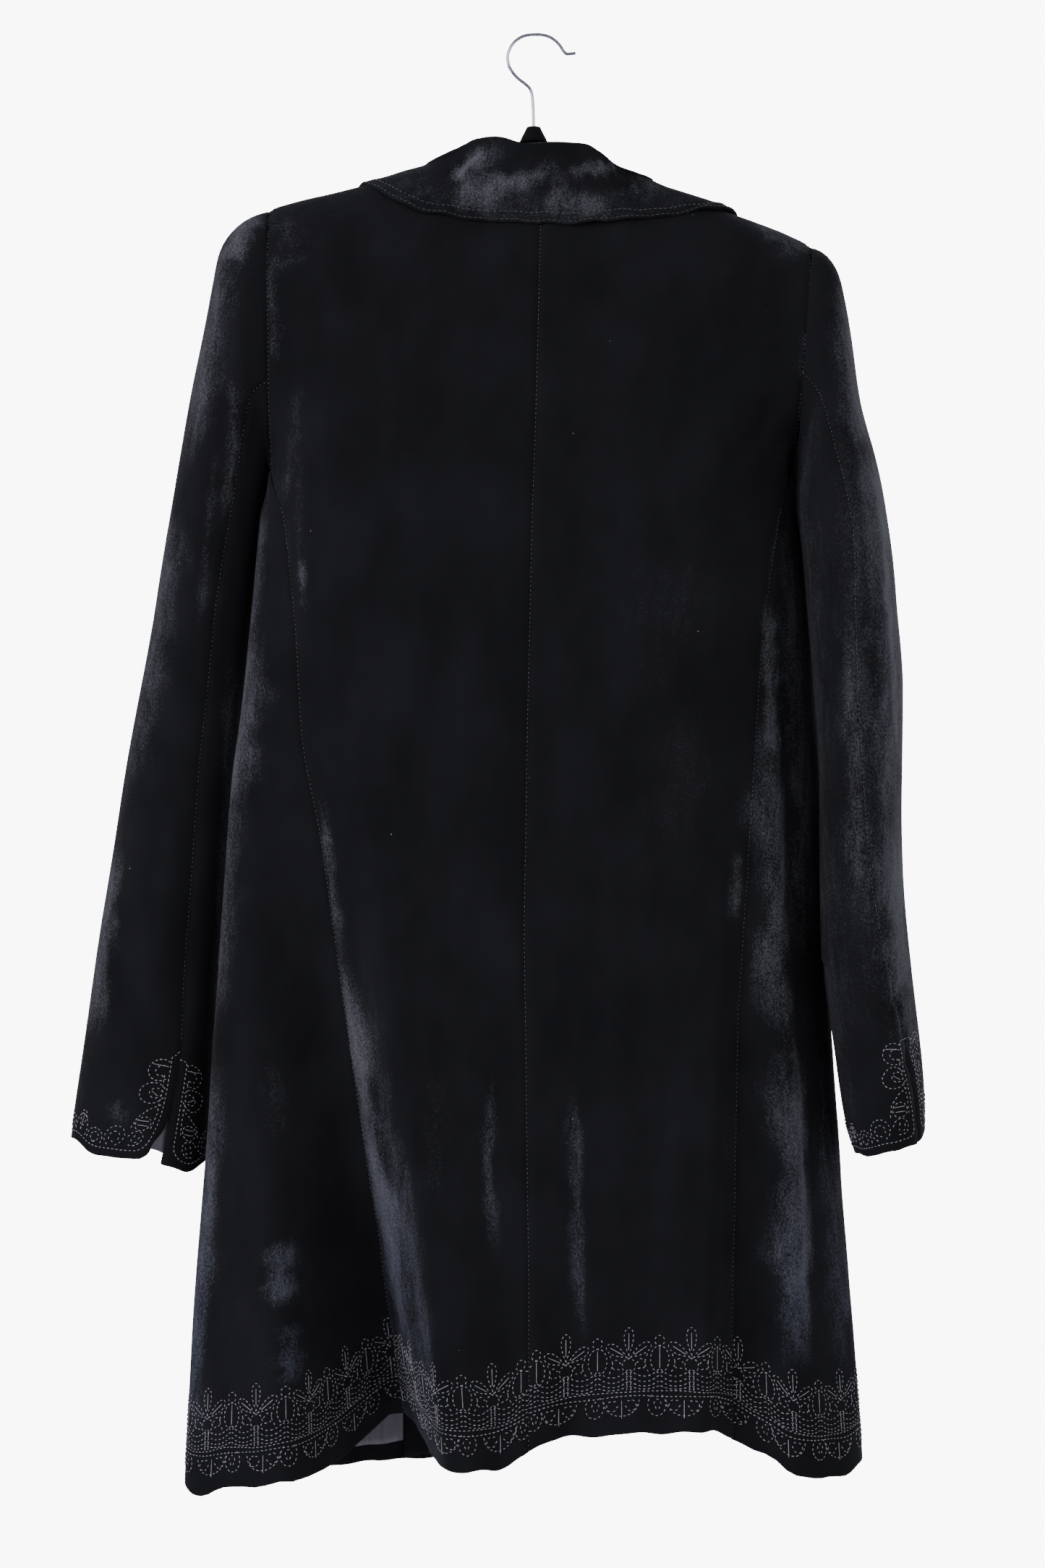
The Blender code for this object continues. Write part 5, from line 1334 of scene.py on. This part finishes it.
for name, node, slot, finish, key in (
        ("satin_front_lining_left", "front_lining_left", "lining", satin, "lining"),
        ("velvet_front_facing_left", "front_facing_left", "velvet", velvet, "facing")):
    clothShell(name, node, insideGrid(inside[key]), bodyMiddle, (), ("bottom",), ("front", "front"),
               5, "hung", ["velvet_front_left"], inside["wall"], materials=[finish])
cuff = inside["cuff"]
rings, angles = meshFor["stripLines"]
ring = np.linspace(cuff["bottom"], cuff["top"], rings)[:, None]
angle = np.radians(np.linspace(cuff["start"], cuff["end"], angles))[None, :]
ring, angle = np.broadcast_arrays(ring, angle)
grid = sleevePoint("left", angle, ring)
grid = grid + gridInward(grid, cuffMiddle) * (coat["wall"] + inside["gap"])
clothShell("satin_cuff_lining_left", "cuff_lining_left", grid, cuffMiddle, (), ("bottom",),
           ("sleeveBack", None), 5, "hung", ["velvet_upper_sleeve_left"], inside["wall"], materials=[satin])

# Hanger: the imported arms, neck and hook with their real finishes
for node, finish in (("hanger_arms", flock), ("hanger_neck", flock), ("hanger_hook", steel)):
    thing = bpy.data.objects[node]
    for place in thing.material_slots:
        place.material = finish
print("hanger finished")

studio = {
    "floorDrop": 1.32, "floorSize": 1.15, "floorSides": 64,
    "wall": "#ffffff", "wallStrength": 9.0, "ambient": "#eceef2", "ambientStrength": 0.4,
    "camera": (-0.01125, -3.04, -0.517), "lens": 100.96,
    "lights": {     # energy, size, place and colour
        "window": (62, 1.8, (-2.6, -1.5, 0.5), "#fbfbff"),
        "fill": (30, 2.4, (2.3, -2.5, -0.1), "#ffffff"),
        "front": (22, 2.2, (1.6, 2.6, 0.6), "#ffffff"),
    },
    "aim": (0, 0, -0.5),
}


def addLight(name, energy, size, place, colour):
    lamp = bpy.data.lights.new(name, "AREA")
    lamp.energy, lamp.size, lamp.color = energy, size, linear(colour)[:3]
    light = addObject(name, lamp)
    light.location = place
    aim = np.array(studio["aim"]) - np.array(place)
    yaw = math.atan2(aim[1], aim[0]) - math.pi / 2
    pitch = math.atan2(aim[2], math.hypot(aim[0], aim[1]))
    light.rotation_euler = (math.pi / 2 + pitch, 0, yaw)


for name, values in studio["lights"].items():
    addLight(name, *values)

world = bpy.data.worlds.new("studio")
bpy.context.scene.world = world
world.use_nodes = True
tree = world.node_tree
background = tree.nodes["Background"]
background.inputs["Color"].default_value = linear(studio["ambient"])
background.inputs["Strength"].default_value = studio["ambientStrength"]
pale = addNode(tree, "ShaderNodeBackground", {"Color": linear(studio["wall"]),
                                              "Strength": studio["wallStrength"]})
seen = addNode(tree, "ShaderNodeLightPath")
behind = addNode(tree, "ShaderNodeMixShader", {}, {0: seen.outputs["Is Camera Ray"], 1: background.outputs[0],
                                                   2: pale.outputs[0]})
tree.links.new(behind.outputs[0], tree.nodes["World Output"].inputs["Surface"])

turns = np.linspace(0, 2 * math.pi, studio["floorSides"] + 1)[:-1]
floorPoints = np.stack([studio["floorSize"] * np.cos(turns), studio["floorSize"] * np.sin(turns),
                        np.full_like(turns, -studio["floorDrop"])], -1)
floorMesh = bpy.data.meshes.new("floor")
floorMesh.from_pydata(floorPoints.tolist(), [], [list(range(studio["floorSides"]))])
floor = addObject("floor", floorMesh)
# Matt painted floor: pale and even
paint, tree, shader = newMaterial("matt paint", {"Base Color": linear("#f4f4f6"), "Roughness": 0.9})
floorMesh.materials.append(paint)

lens = bpy.data.cameras.new("camera")
lens.lens, lens.sensor_width = studio["lens"], 36
camera = addObject("camera", lens)
camera.location, camera.rotation_euler = studio["camera"], (math.pi / 2, 0, 0)
bpy.context.scene.camera = camera
print("studio made")
